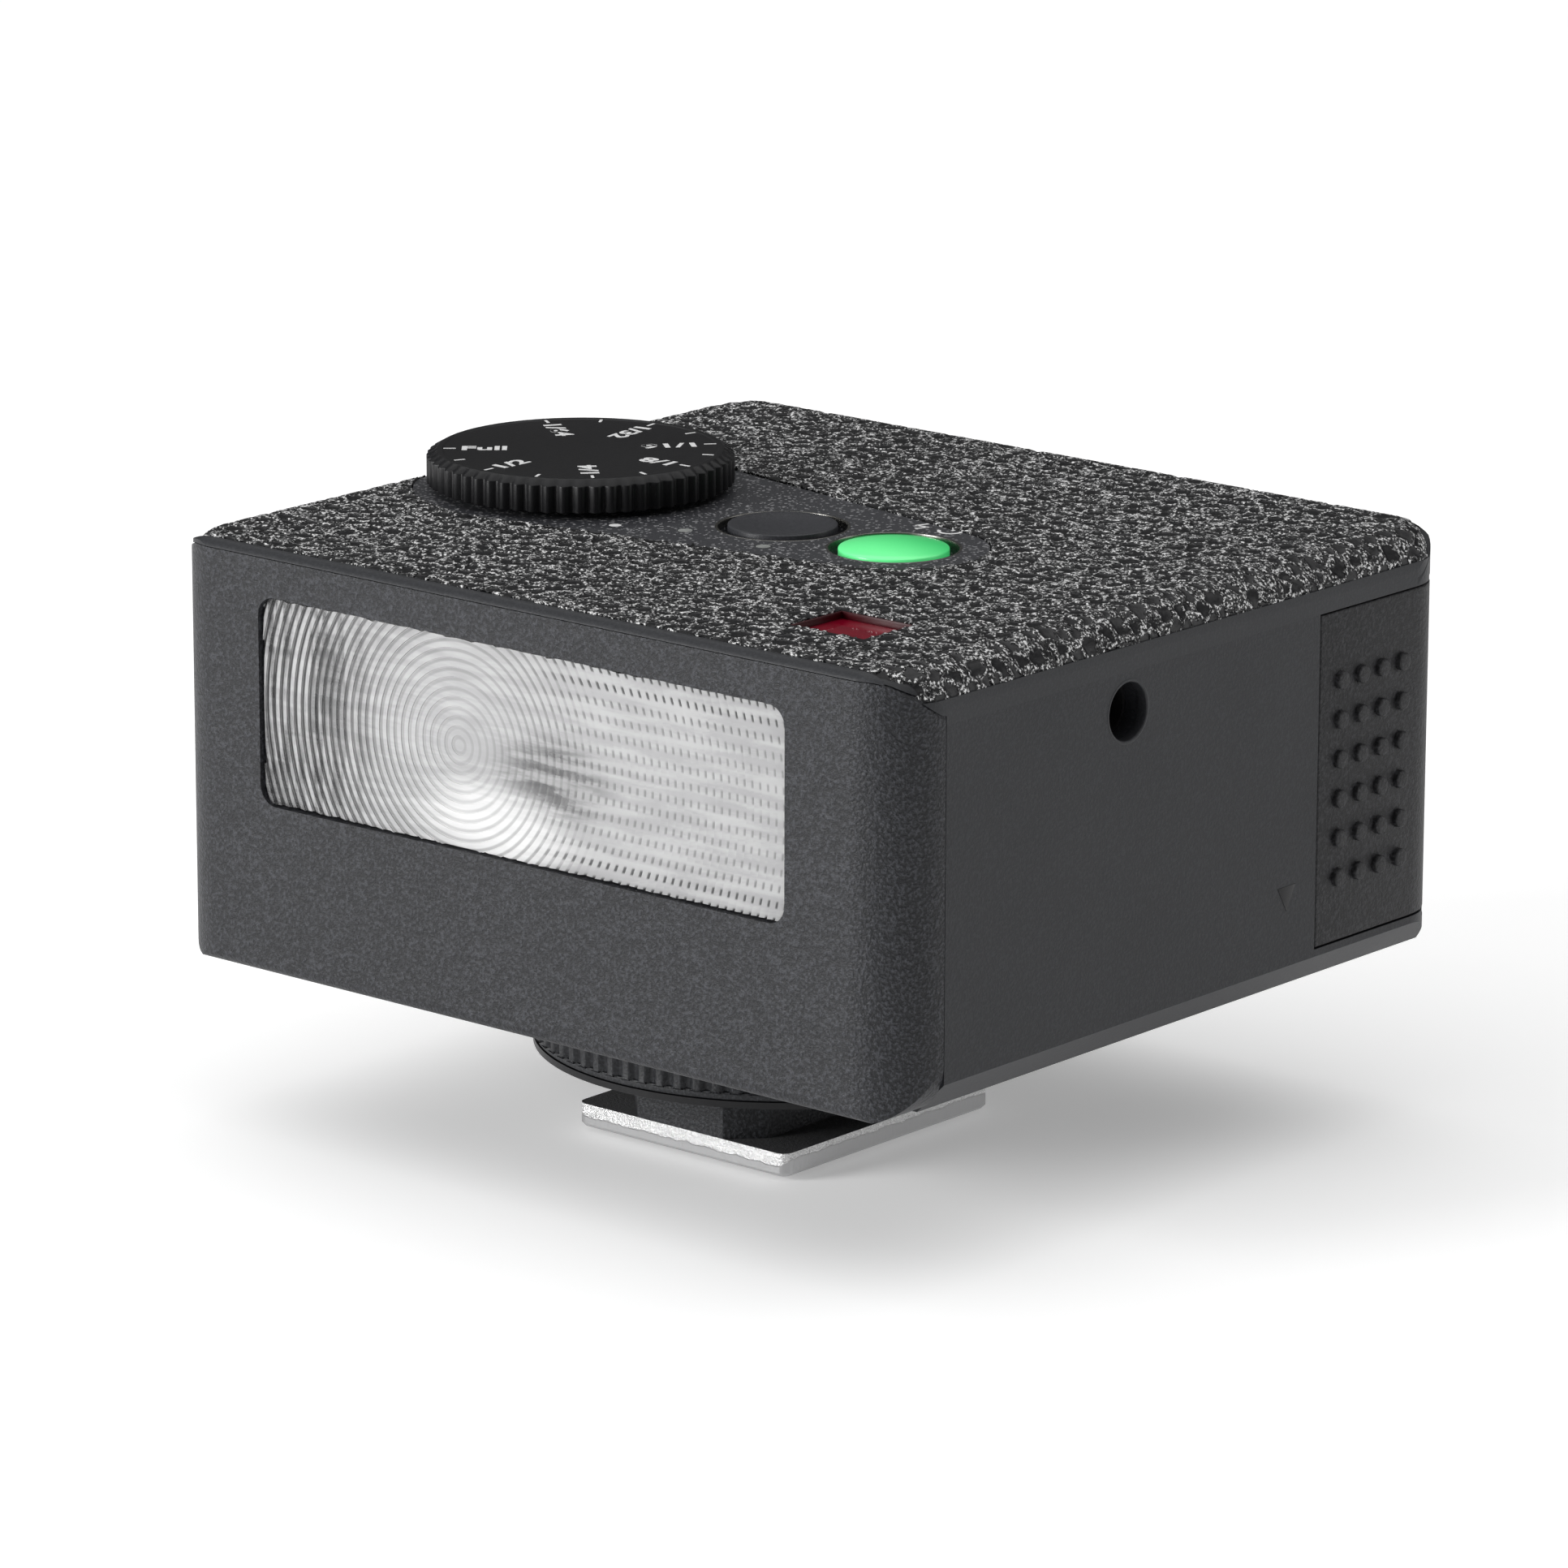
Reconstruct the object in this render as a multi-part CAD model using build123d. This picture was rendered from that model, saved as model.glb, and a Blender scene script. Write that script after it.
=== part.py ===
from build123d import *
from math import sqrt
import os

os.makedirs("parts", exist_ok=True)

# Frame: +Z up, -Y is the way the flash fires, origin at the centre of the foot's underside.
# All sizes are in millimetres.

# Case envelope
caseWidth = 64.2
caseDepth = 58.5
caseFront = -26.5  # Y of the front face
caseBottom = 11.45  # Z of the underside
shellTop = 40.4  # Z of the top cover's moulded surface
leatherThickness = 0.5
cornerRadius = 4.4  # upright corners
topSideRadius = 2.6  # long top edges, over the leatherette
faceEdgeRadius = 0.8  # top and bottom edges of the front and rear faces
cornerRun = 1.5  # how far the side rounding runs on past the front face
cornerRunRear = 0.8  # the same past the rear face
cornerEase = 0.45  # radius of the second, smaller rounding at the corners, part of the side one
cornerEaseRun = 0.4
sideBevel = 2.2  # 45 degree bevel along the bottom sides
bezelLowRadius = 3.4  # lower corners of the front bezel, where the bevel runs out
wall = 1.8
floorThickness = 1.6
roofThickness = 1.5
bandLow = 37.15  # parting line of the top cover on the sides
leatherLow = 38.8  # lower edge of the leatherette on the sides
tongueTop = 40.15  # top of the front and rear faces under the cover's lip
lipWidth = 0.7  # smooth lip between the leatherette and the faces
lipDrop = 0.12  # the lip below the leatherette's top
seam = 0.05  # clearance between fixed mouldings

# Window, lens, reflector and tube
windowWidth = 46.0
windowHeight = 14.35
windowX = -0.45
windowZ = 30.4
windowCorner = 1.4
bezelThickness = 2.0
lensRecess = 0.3
lensGap = 0.15
lensFlange = 1.5
lensFlangeThickness = 0.9
reflectorDepth = 11.5
reflectorSheet = 0.4
reflectorWidth = 45.2
reflectorHeight = 13.6
tubeRadius = 1.5
tubeLength = 50.6
tubeFromBack = 2.9
bootRadius = 2.6
bootLength = 2.4
electrodeRadius = 0.5
electrodeLength = 2.0

# Foot, stem, clamp washer and lock ring
footWidth = 18.6
footLength = 21.6
footThickness = 1.65
footCorner = 0.8
stemWidth = 12.0
stemBevel = 2.2
threadRadius = 11.75
washerLow = 5.7
washerThickness = 0.45
washerRadius = 17.1
ringRadius = 17.25
ringHeight = 4.55
ringRibs = 80
ringGroove = 0.55
ringGrooveDepth = 0.3
ringRim = 0.45
ringGap = 0.05
padThickness = 0.3
padHole = 13.5
padMargin = 1.6
pinRadius = 1.2
pinProud = 0.35
pinBore = 0.08
insulatorRadius = 3.6

# Control plate, dial and buttons
dialX = -19.7
controlY = 1.45
plateRadius = 11.5
plateEndRadius = 6.4
plateTop = 40.75
plateThickness = 0.9
dialRadius = 10.57
dialTopRadius = 9.83
dialHeight = 2.25
dialBevelHeight = 0.41
dialFlutes = 60
dialFluteRadius = 0.36
dialGap = 0.5
hubRadius = 3.6
spindleRadius = 1.5
runningGap = 0.06
buttonRadius = 3.72
buttonWell = 4.42
modeX = -1.5
powerX = 8.2
modeTop = 40.95
modeDish = 0.25  # hollow of the mode button
powerTop = 41.45
powerDome = 0.45  # rise of the power button in the middle
buttonGap = 0.2
buttonLip = 0.55
buttonTravel = 0.5
plungerRadius = 1.2
indicatorRadius = 0.5

# Sensor window
sensorX = 20.2
sensorY = -17.1
sensorWidth = 6.0
sensorDepth = 5.0
sensorSunk = 0.1

# Sync jack
jackY = -3.7
jackZ = 34.5
jackHole = 2.0
jackBore = 1.8
jackDepth = 12.0
jackBody = 5.0

# Battery door, cells and cradle
doorFront = 16.8  # Y of the door's leading seam
doorLow = 14.15
doorReturn = 6.5  # length of the door round the rear corner
doorThickness = 1.6
doorGap = 0.1
gripColumns = 4
gripRows = 6
gripPitchY = 2.27
gripPitchZ = 2.72
gripRadius = 0.5
gripProud = 0.4
gripFirstY = 19.15
gripLowZ = 18.7
railThickness = 0.5
railHeight = 0.35
railGap = 0.1
cellRadius = 5.25
cellLength = 43.5
cellNub = 1.0
cellNubRadius = 1.9
cellGap = 0.4
cellEndGap = 0.7
cradleWall = 1.1

# Boards and the parts on them
boardThickness = 1.2
controlBoardTop = 35.6
mainBoardLow = 14.7
capacitorRadius = 6.8
capacitorLength = 36.0

# Fasteners
caseScrewRadius = 1.0
caseScrewHead = 1.8
headHeight = 1.0
postRadius = 2.3
footScrewRadius = 0.9
footScrewHead = 1.7
stemScrewRadius = 1.0
stemScrewHead = 1.9

# Values that follow from the ones above
halfWidth = caseWidth / 2
caseRear = caseFront + caseDepth
midY = caseFront + caseDepth / 2
leatherTop = shellTop + leatherThickness
lipTop = leatherTop - lipDrop
bezelSeam = caseFront + cornerRadius
rearSeam = caseRear - cornerRadius
floorTop = caseBottom + floorThickness
roofLow = shellTop - roofThickness
innerX = halfWidth - wall
ringLow = washerLow + washerThickness + ringGap
ringTop = ringLow + ringHeight
padLow = caseBottom - padThickness
plateLow = plateTop - plateThickness
dialLow = plateTop + dialGap
dialTop = dialLow + dialHeight
controlBoardLow = controlBoardTop - boardThickness
mainBoardTop = mainBoardLow + boardThickness
cellY = caseRear - wall - cellGap - cellRadius
cellPitch = 2 * cellRadius + cellGap
cellMidZ = (doorLow + bandLow) / 2
cellInnerX = halfWidth - doorThickness - cellEndGap - cellLength - cellNub
mouthY = caseFront + bezelThickness + lensFlangeThickness + seam
far = 100.0


def block(x0, x1, y0, y1, z0, z1):
    """Box between two corners."""
    centre = Pos((x0 + x1) / 2, (y0 + y1) / 2, (z0 + z1) / 2)
    return centre * Box(x1 - x0, y1 - y0, z1 - z0)


def post(x, y, z0, z1, radius):
    """Upright cylinder."""
    return Pos(x, y, (z0 + z1) / 2) * Cylinder(radius, z1 - z0)


def bar(x0, x1, y, z, radius):
    """Cylinder along X."""
    return Pos((x0 + x1) / 2, y, z) * Rot(0, 90, 0) * Cylinder(radius, x1 - x0)


def upright(sketch, z0, z1):
    """Plan outline raised from z0 to z1."""
    return extrude(Plane.XY.offset(z0) * sketch, z1 - z0)


def along_x(sketch, reach):
    """Side outline (Y, Z) drawn out both ways along X."""
    return extrude(Plane.YZ * sketch, reach, both=True)


def along_y(sketch, reach):
    """Front outline (X, Z) drawn out both ways along Y."""
    return extrude(Plane.XZ * sketch, reach, both=True)


def front_outline(half, low, high, roundTop=0, bevelLow=0, roundLow=0):
    """Front view of the case: rounded top corners, and bevelled or rounded bottom corners."""
    outline = Rectangle(2 * half, high - low)
    if roundTop > 0:
        outline = fillet(outline.vertices().group_by(Axis.Y)[-1], roundTop)
    if bevelLow > 0:
        outline = chamfer(outline.vertices().group_by(Axis.Y)[0], bevelLow)
    if roundLow > 0:
        outline = fillet(outline.vertices().group_by(Axis.Y)[0], roundLow)
    return Pos(0, (low + high) / 2) * outline


def rolled_block(top, half, radius, frontRun, rearRun):
    """Block with its top edge rounded all the way round, longer than the case at the front and rear."""
    centre = Pos(0, midY + (rearRun - frontRun) / 2)
    plan = centre * RectangleRounded(2 * half, caseDepth + frontRun + rearRun, cornerRadius)
    body = upright(plan, caseBottom - 1, top)
    return fillet(body.faces().sort_by(Axis.Z)[-1].edges(), radius)


def case_form(top, half, roundTop, bevelLow=sideBevel, roundLow=0):
    """The whole case as one block, rounded the way the mouldings are."""
    plan = Pos(0, midY) * RectangleRounded(caseWidth, caseDepth, cornerRadius)
    height = top - caseBottom
    side = Pos(midY, caseBottom + height / 2) * RectangleRounded(caseDepth, height, faceEdgeRadius)
    front = front_outline(half, caseBottom, top, 0, bevelLow, roundLow)
    body = upright(plan, caseBottom, top) & along_x(side, halfWidth) & along_y(front, far)
    body &= rolled_block(top, half, roundTop, cornerRun, cornerRunRear)
    return body & rolled_block(top, half, roundTop * cornerEase, cornerEaseRun, cornerEaseRun)


def tongue(clearance):
    """Front outline of the faces that reach up under the top cover's lip."""
    radius = tongueTop - bandLow
    low = caseBottom - 1
    return front_outline(halfWidth + clearance, low, tongueTop + clearance, radius)


def write(name, shape):
    """One STEP file for one node."""
    solids = shape.solids()
    body = solids[0] if len(solids) == 1 else Compound(children=list(solids))
    export_step(body, f"parts/{name}.step")


def capsule_plan(growth):
    """Control plate outline: two circles round the dial and the power button, joined by tangents."""
    large = plateRadius + growth
    small = plateEndRadius + growth
    run = powerX - dialX
    lean = (large - small) / run
    rise = sqrt(1 - lean * lean)
    corners = [
        (dialX + large * lean, controlY + large * rise),
        (powerX + small * lean, controlY + small * rise),
        (powerX + small * lean, controlY - small * rise),
        (dialX + large * lean, controlY - large * rise),
    ]
    flank = make_face(Polyline(*corners, close=True))
    return flank + Pos(dialX, controlY) * Circle(large) + Pos(powerX, controlY) * Circle(small)


def coil(wireRadius, coilRadius, length, turns):
    """Open helical spring along +Z from the origin."""
    path = Helix(length / turns, length, coilRadius)
    return sweep(Plane(origin=path @ 0, z_dir=path % 0) * Circle(wireRadius), path=path)


# Case screws stand in four places clear of the lens, the cells and the boards.
screwX = innerX - postRadius - 1.0
screwSpots = [
    (-screwX, caseFront + 6.6),
    (screwX, caseFront + 6.6),
    (-screwX, caseRear - 5.0),
    (screwX, doorFront - 3.6),
]
stemScrewSpots = [(x, y) for x in (-6.6, 6.6) for y in (-6.6, 6.6)]
footScrewSpots = [(x, y) for x in (-3.6, 3.6) for y in (-7.4, 7.4)]
indicatorSpots = [(modeX - 4.1, controlY - 5.25), (modeX + 2.9, controlY - 5.4)]


def door_cut():
    """Space of the battery door in the case wall, round the rear corner."""
    side = block(innerX - 0.01, far, doorFront, far, doorLow, bandLow)
    back = block(halfWidth - doorReturn, far, caseRear - wall - 0.01, far, doorLow, bandLow)
    return side + back


def rail(growth):
    """Rails on the door's upper and lower edges, open to the rear."""
    outer = halfWidth - 0.6 + growth
    rise = railHeight + growth
    low = block(outer - railThickness - 2 * growth, outer, doorFront + 0.6 - growth,
                rearSeam + 1.4 + (far if growth else 0), doorLow - rise, doorLow + 0.2)
    high = block(outer - railThickness - 2 * growth, outer, doorFront + 0.6 - growth,
                 rearSeam + 1.4 + (far if growth else 0), bandLow - 0.2, bandLow - doorGap + rise)
    return low + high


def lower_housing():
    form = case_form(lipTop, halfWidth, topSideRadius)
    belowBand = block(-far, far, bezelSeam, far, 0, bandLow)
    rearTongue = along_y(tongue(0), far) & block(-far, far, rearSeam, far, 0, far)
    body = form & (belowBand + rearTongue)
    body -= block(-innerX, innerX, caseFront, caseRear - wall, floorTop, far)
    body -= door_cut()
    body -= rail(railGap)
    body -= bar(innerX - 1, far, jackY, jackZ, jackHole)
    for x, y in screwSpots:
        body += post(x, y, floorTop, mainBoardLow - 0.4, postRadius)
        body -= post(x, y, 0, mainBoardLow, caseScrewRadius + seam)
        body -= post(x, y, 0, caseBottom + headHeight, caseScrewHead + 0.2)
    for x, y in stemScrewSpots:
        body -= post(x, y, 0, far, stemScrewRadius + seam)
    body -= post(0, 0, 0, floorTop + 1, 1.2)
    return body


def front_bezel():
    form = case_form(lipTop, halfWidth, topSideRadius, 0, bezelLowRadius)
    body = form & along_y(tongue(0), far) & block(-far, far, caseFront, bezelSeam - seam, 0, far)
    body -= block(-innerX, innerX, caseFront + bezelThickness, far, floorTop, far)
    window = Pos(windowX, windowZ) * RectangleRounded(windowWidth, windowHeight, windowCorner)
    body -= along_y(window, far) & block(-far, far, -far, bezelSeam, 0, far)
    return body


def top_cover():
    form = case_form(lipTop, halfWidth, topSideRadius)
    middle = block(-far, far, caseFront + lipWidth, caseRear - lipWidth, leatherLow, far)
    crown = case_form(shellTop, halfWidth - leatherThickness, topSideRadius - leatherThickness)
    body = (form & block(-far, far, -far, far, bandLow, far)) - middle
    body += crown & middle
    faces = along_y(tongue(seam), far)
    body -= faces & block(-far, far, -far, bezelSeam, 0, far)
    body -= faces & block(-far, far, rearSeam, far, 0, far)
    body -= block(-innerX, innerX, bezelSeam - 0.01, rearSeam + 0.01, 0, roofLow)
    body -= upright(capsule_plan(seam), plateLow, far)
    body -= post(dialX, controlY, 0, far, hubRadius + 0.5)
    for x in (modeX, powerX):
        body -= post(x, controlY, 0, far, buttonRadius + buttonGap)
    for x, y in indicatorSpots:
        body -= post(x, y, 0, far, indicatorRadius + seam)
    body -= block(
        sensorX - sensorWidth / 2 - seam, sensorX + sensorWidth / 2 + seam,
        sensorY - sensorDepth / 2 - seam, sensorY + sensorDepth / 2 + seam, 0, far,
    )
    for x, y in screwSpots:
        body += post(x, y, mainBoardLow, roofLow + 0.1, postRadius)
        body -= post(x, y, 0, mainBoardLow + 9, caseScrewRadius + seam)
    body -= rail(railGap)
    return body


def leatherette_wrap():
    outer = case_form(leatherTop, halfWidth, topSideRadius)
    inner = case_form(shellTop, halfWidth - leatherThickness, topSideRadius - leatherThickness)
    middle = block(
        -far, far, caseFront + lipWidth + seam, caseRear - lipWidth - seam, leatherLow + seam, far
    )
    body = (outer & middle) - inner
    body -= upright(capsule_plan(2 * seam), 0, far)
    body -= block(
        sensorX - sensorWidth / 2 - 2 * seam, sensorX + sensorWidth / 2 + 2 * seam,
        sensorY - sensorDepth / 2 - 2 * seam, sensorY + sensorDepth / 2 + 2 * seam, 0, far,
    )
    return body


def control_plate():
    """Follows the case's rounded left edge where the dial's circle runs out over it."""
    body = upright(capsule_plan(0), plateLow, plateTop)
    lowered = front_outline(
        halfWidth - leatherThickness, caseBottom, plateTop, topSideRadius - leatherThickness
    )
    body &= along_y(lowered, far)
    body -= post(dialX, controlY, 0, far, hubRadius + 0.5)
    for x in (modeX, powerX):
        body -= post(x, controlY, 0, far, buttonWell)
    for x, y in indicatorSpots:
        body -= post(x, y, 0, far, indicatorRadius + seam)
    return body


def bottom_pad():
    half = halfWidth - sideBevel - padMargin
    y0 = bezelSeam
    y1 = caseRear - 2.2
    plan = Pos(0, (y0 + y1) / 2) * RectangleRounded(2 * half, y1 - y0, 2.0)
    body = upright(plan, padLow, caseBottom) - post(0, 0, 0, far, padHole)
    for x, y in screwSpots:
        body -= post(x, y, 0, far, caseScrewHead + 0.4)
    return body


def fresnel_lens():
    pane = RectangleRounded(windowWidth - 2 * lensGap, windowHeight - 2 * lensGap, windowCorner - lensGap)
    flange = RectangleRounded(
        windowWidth + 2 * lensFlange, windowHeight + 2 * lensFlange, windowCorner + lensFlange
    )
    face = caseFront + lensRecess
    back = caseFront + bezelThickness
    body = along_y(Pos(windowX, windowZ) * pane, far) & block(-far, far, face, back, 0, far)
    body += along_y(Pos(windowX, windowZ) * flange, far) & block(
        -far, far, back, back + lensFlangeThickness, 0, far
    )
    return body


def trough(growth, width):
    """Parabolic trough, its mouth at the lens flange."""
    height = reflectorHeight / 2 + growth
    apex = mouthY + reflectorDepth + growth
    control = 2 * apex - mouthY
    curve = Bezier((mouthY, windowZ + height), (control, windowZ), (mouthY, windowZ - height))
    closing = Line(curve @ 1, curve @ 0)
    return Pos(windowX, 0, 0) * along_x(make_face(curve + closing), width / 2)


def reflector():
    body = trough(reflectorSheet, reflectorWidth) - trough(0, reflectorWidth - 2 * reflectorSheet)
    return body - bar(-far, far, tubeY, windowZ, tubeRadius + 0.4)


tubeY = mouthY + reflectorDepth - tubeFromBack


def flash_tube():
    half = tubeLength / 2
    return bar(windowX - half, windowX + half, tubeY, windowZ, tubeRadius)


def each_tube_end(inner, outer, radius, hole):
    """A pair of round pieces, one at each end of the tube."""
    pieces = []
    for side in (-1, 1):
        a, b = sorted((windowX + side * inner, windowX + side * outer))
        piece = bar(a, b, tubeY, windowZ, radius)
        if hole > 0:
            piece -= bar(a - 1, b + 1, tubeY, windowZ, hole)
        pieces.append(piece)
    return Compound(children=pieces)


def tube_boots():
    start = reflectorWidth / 2 + seam
    return each_tube_end(start, start + bootLength, bootRadius, tubeRadius)


def tube_electrodes():
    return each_tube_end(tubeLength / 2, tubeLength / 2 + electrodeLength, electrodeRadius, 0)


def sensor_window():
    x0, x1 = sensorX - sensorWidth / 2, sensorX + sensorWidth / 2
    y0, y1 = sensorY - sensorDepth / 2, sensorY + sensorDepth / 2
    pane = block(x0, x1, y0, y1, roofLow - 0.01, shellTop - sensorSunk)
    return pane + block(x0 - 0.8, x1 + 0.8, y0 - 0.8, y1 + 0.8, roofLow - 0.6, roofLow)


def slave_sensor():
    top = roofLow - 0.8
    return block(sensorX - 1.6, sensorX + 1.6, sensorY - 1.3, sensorY + 1.3, top - 0.9, top)


def power_dial():
    knob = post(dialX, controlY, dialLow, dialTop, dialRadius)
    knob = chamfer(
        knob.edges().group_by(Axis.Z)[-1], dialBevelHeight, dialRadius - dialTopRadius
    )
    flutes = Sketch() + [
        Pos(dialX, controlY) * loc * Circle(dialFluteRadius)
        for loc in PolarLocations(dialRadius + dialFluteRadius * 0.35, dialFlutes)
    ]
    knob -= upright(flutes, dialLow - 1, dialTop + 1)
    knob += post(dialX, controlY, controlBoardTop + 2.7, dialLow + 0.1, hubRadius)
    return knob - post(dialX, controlY, 0, dialTop - 0.8, spindleRadius)


def dial_spindle():
    return post(dialX, controlY, controlBoardTop + 0.4, dialTop - 0.8, spindleRadius)


def rotary_switch():
    body = block(dialX - 6.5, dialX + 6.5, controlY - 6.5, controlY + 6.5,
                 controlBoardTop, controlBoardTop + 2.3)
    return body - post(dialX, controlY, controlBoardTop + 0.3, far, spindleRadius + runningGap)


def button_cap(x, top, dish):
    """Cap with a retaining lip under the top cover; a negative dish is a dome."""
    stopTop = roofLow - 0.1
    cap = post(x, controlY, stopTop - 0.1, top, buttonRadius)
    sag = abs(dish)
    bow = (buttonRadius**2 + sag**2) / (2 * sag)
    if dish > 0:
        cap -= Pos(x, controlY, top - sag + bow) * Sphere(bow)
        cap = chamfer(cap.edges().group_by(Axis.Z)[-1], 0.1)
    else:
        dome = Pos(x, controlY, top - bow) * Sphere(bow)
        cap &= dome + post(x, controlY, 0, top - sag, far)
    return cap + post(x, controlY, stopTop - 0.6, stopTop, buttonRadius + buttonLip)


def mode_button():
    return button_cap(modeX, modeTop, modeDish)


def power_button():
    return button_cap(powerX, powerTop, -powerDome)


def switch_plunger(x):
    return post(x, controlY, controlBoardTop + 1.3, roofLow - 0.7, plungerRadius)


def tact_switches():
    switches = []
    for x in (modeX, powerX):
        body = block(x - 3, x + 3, controlY - 3, controlY + 3, controlBoardTop, controlBoardTop + 1.9)
        switches.append(body - post(x, controlY, controlBoardTop + 0.6, far, plungerRadius + runningGap))
    return Compound(children=switches)


def indicator_lights():
    pipes = []
    for x, y in indicatorSpots:
        pipe = post(x, y, roofLow - 0.01, plateTop, indicatorRadius)
        pipes.append(pipe + post(x, y, roofLow - 0.5, roofLow, indicatorRadius + 0.4))
    return Compound(children=pipes)


def indicator_leds():
    leds = [block(x - 0.8, x + 0.8, y - 0.4, y + 0.4, controlBoardTop, controlBoardTop + 0.7)
            for x, y in indicatorSpots]
    pilot = block(powerX - 0.8, powerX + 0.8, controlY + 3.5, controlY + 5.1,
                  controlBoardTop, controlBoardTop + 0.8)
    return Compound(children=leds + [pilot])


def control_board():
    return block(-innerX + 1, 14.0, -8.6, 14.2, controlBoardLow, controlBoardTop)


def board_pillars():
    """Spacers that carry the control board over the main board."""
    spots = [(x, y) for x in (-23.0, 12.2) for y in (-6.4, 12.8)]
    return Compound(children=[post(x, y, mainBoardTop, controlBoardLow, 1.4) for x, y in spots])


def main_board():
    half = screwX - postRadius - 0.4
    return block(-half, half, caseFront + 3.4, doorFront - 0.6, mainBoardLow, mainBoardTop)


def main_capacitor():
    can = bar(-24.4, -24.4 + capacitorLength, 3.4, mainBoardTop + capacitorRadius + 0.1, capacitorRadius)
    return fillet(can.edges(), 0.6)


def transformer_core():
    x, y, z = 18.6, 3.2, mainBoardTop
    body = block(x - 6, x + 6, y - 5, y + 5, z, z + 9.4)
    body -= block(x - 3.6, x + 3.6, y - 6, y + 6, z + 1.6, z + 7.8)
    return body + block(x - 1.4, x + 1.4, y - 2.4, y + 2.4, z + 1.5, z + 7.9)


def transformer_winding():
    x, y, z = 18.6, 3.2, mainBoardTop
    body = block(x - 3.5, x + 3.5, y - 4.9, y + 4.9, z + 1.8, z + 7.6)
    return body - block(x - 1.5, x + 1.5, y - 2.5, y + 2.5, z, z + 12)


def trigger_coil():
    body = block(12.0, 20.0, -19.0, -13.5, mainBoardTop, mainBoardTop + 5.2)
    return fillet(body.edges().filter_by(Axis.Z), 1.0)


def power_transistor():
    body = block(-22.0, -15.5, -18.0, -12.0, mainBoardTop, mainBoardTop + 2.3)
    return chamfer(body.edges().group_by(Axis.Z)[-1], 0.3)


def sync_jack():
    half = jackBody / 2
    body = block(innerX - jackDepth - 1.2, innerX - seam, jackY - half, jackY + half,
                 jackZ - half, jackZ + half)
    return body - bar(innerX - jackDepth, far, jackY, jackZ, jackBore)


def jack_springs():
    """Two leaf contacts that lie just outside the bore, and stand on the jack's end."""
    root = innerX - jackDepth - 1.2
    leaves = [block(root - 2.5, root, jackY + side * 1.6 - 0.3, jackY + side * 1.6 + 0.3,
                    jackZ - 1.2, jackZ + 1.2) for side in (-1, 1)]
    return Compound(children=leaves)


def battery_cradle():
    y0 = doorFront + 0.5
    y1 = caseRear - wall - seam
    x0 = cellInnerX - 5.6
    body = block(x0, innerX - 0.6, y0, y1, floorTop + seam, bandLow + 0.7)
    body -= block(x0 + cradleWall, far, y0 + cradleWall, y1 + 1, doorLow, bandLow - 0.4)
    return body


def each_cell_z():
    return [cellMidZ - cellPitch / 2, cellMidZ + cellPitch / 2]


def battery_cells():
    lowZ, highZ = each_cell_z()
    cells = []
    for z, side in ((lowZ, -1), (highZ, 1)):
        nub = cellNub if side < 0 else 0
        cell = bar(cellInnerX + nub, cellInnerX + nub + cellLength, cellY, z, cellRadius)
        cell = fillet(cell.edges(), 0.5)
        a = cellInnerX if side < 0 else cellInnerX + cellLength - 0.1
        cell += bar(a, a + cellNub + 0.1, cellY, z, cellNubRadius)
        cells.append(cell)
    return Compound(children=cells)


def battery_contacts():
    """Plates at the closed end of the cradle, the lower one with a raised bump."""
    face = cellInnerX - 5.6 + cradleWall
    lowZ, highZ = each_cell_z()
    low, high = [
        block(face, face + 0.4, cellY - 4, cellY + 4, z - 4.2, z + 4.2) for z in (lowZ, highZ)
    ]
    low += block(face + 0.3, cellInnerX - seam, cellY - 1.6, cellY + 1.6, lowZ - 1.6, lowZ + 1.6)
    return Compound(children=[low, high])


def battery_spring():
    wire = 0.3
    face = cellInnerX - 5.6 + cradleWall + 0.4
    spring = coil(wire, 3.0, cellInnerX - face - 2 * wire - 2 * seam, 3)
    return Pos(face + wire + seam, cellY, each_cell_z()[1]) * Rot(0, 90, 0) * spring


def battery_door():
    form = case_form(lipTop, halfWidth, topSideRadius)
    low, high = doorLow + doorGap, bandLow - doorGap
    side = block(halfWidth - doorThickness, far, doorFront + doorGap, far, low, high)
    back = block(halfWidth - doorReturn + doorGap, far, caseRear - doorThickness, far, low, high)
    body = form & (side + back)
    body += rail(0) & block(-far, far, -far, far, doorLow - railHeight, bandLow + railHeight - doorGap)
    studs = [
        bar(halfWidth - 0.3, halfWidth + gripProud, gripFirstY + c * gripPitchY, gripLowZ + r * gripPitchZ,
            gripRadius)
        for c in range(gripColumns) for r in range(gripRows)
    ]
    return body + studs


def door_contact():
    outer = halfWidth - doorThickness - seam
    return block(outer - 0.35, outer, cellY - 3.6, cellY + 3.6, cellMidZ - 9.2, cellMidZ + 9.2)


def foot_stem():
    plan = chamfer(Rectangle(stemWidth, footLength).vertices(), stemBevel)
    body = upright(plan, footThickness, ringLow + 0.02)
    body += post(0, 0, ringLow, caseBottom, threadRadius)
    body -= post(0, 0, 0, 6.6, 2.0)
    body -= post(0, 0, 0, far, 1.2)
    for x, y in stemScrewSpots:
        body -= post(x, y, caseBottom - 4.0, far, stemScrewRadius)
    for x, y in footScrewSpots:
        body -= post(x, y, 0, footThickness + 3.4, footScrewRadius)
    return body


def clamp_washer():
    plan = chamfer(Rectangle(stemWidth + 0.3, footLength + 0.3).vertices(), stemBevel)
    return upright(Circle(washerRadius) - plan, washerLow, washerLow + washerThickness)


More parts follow.
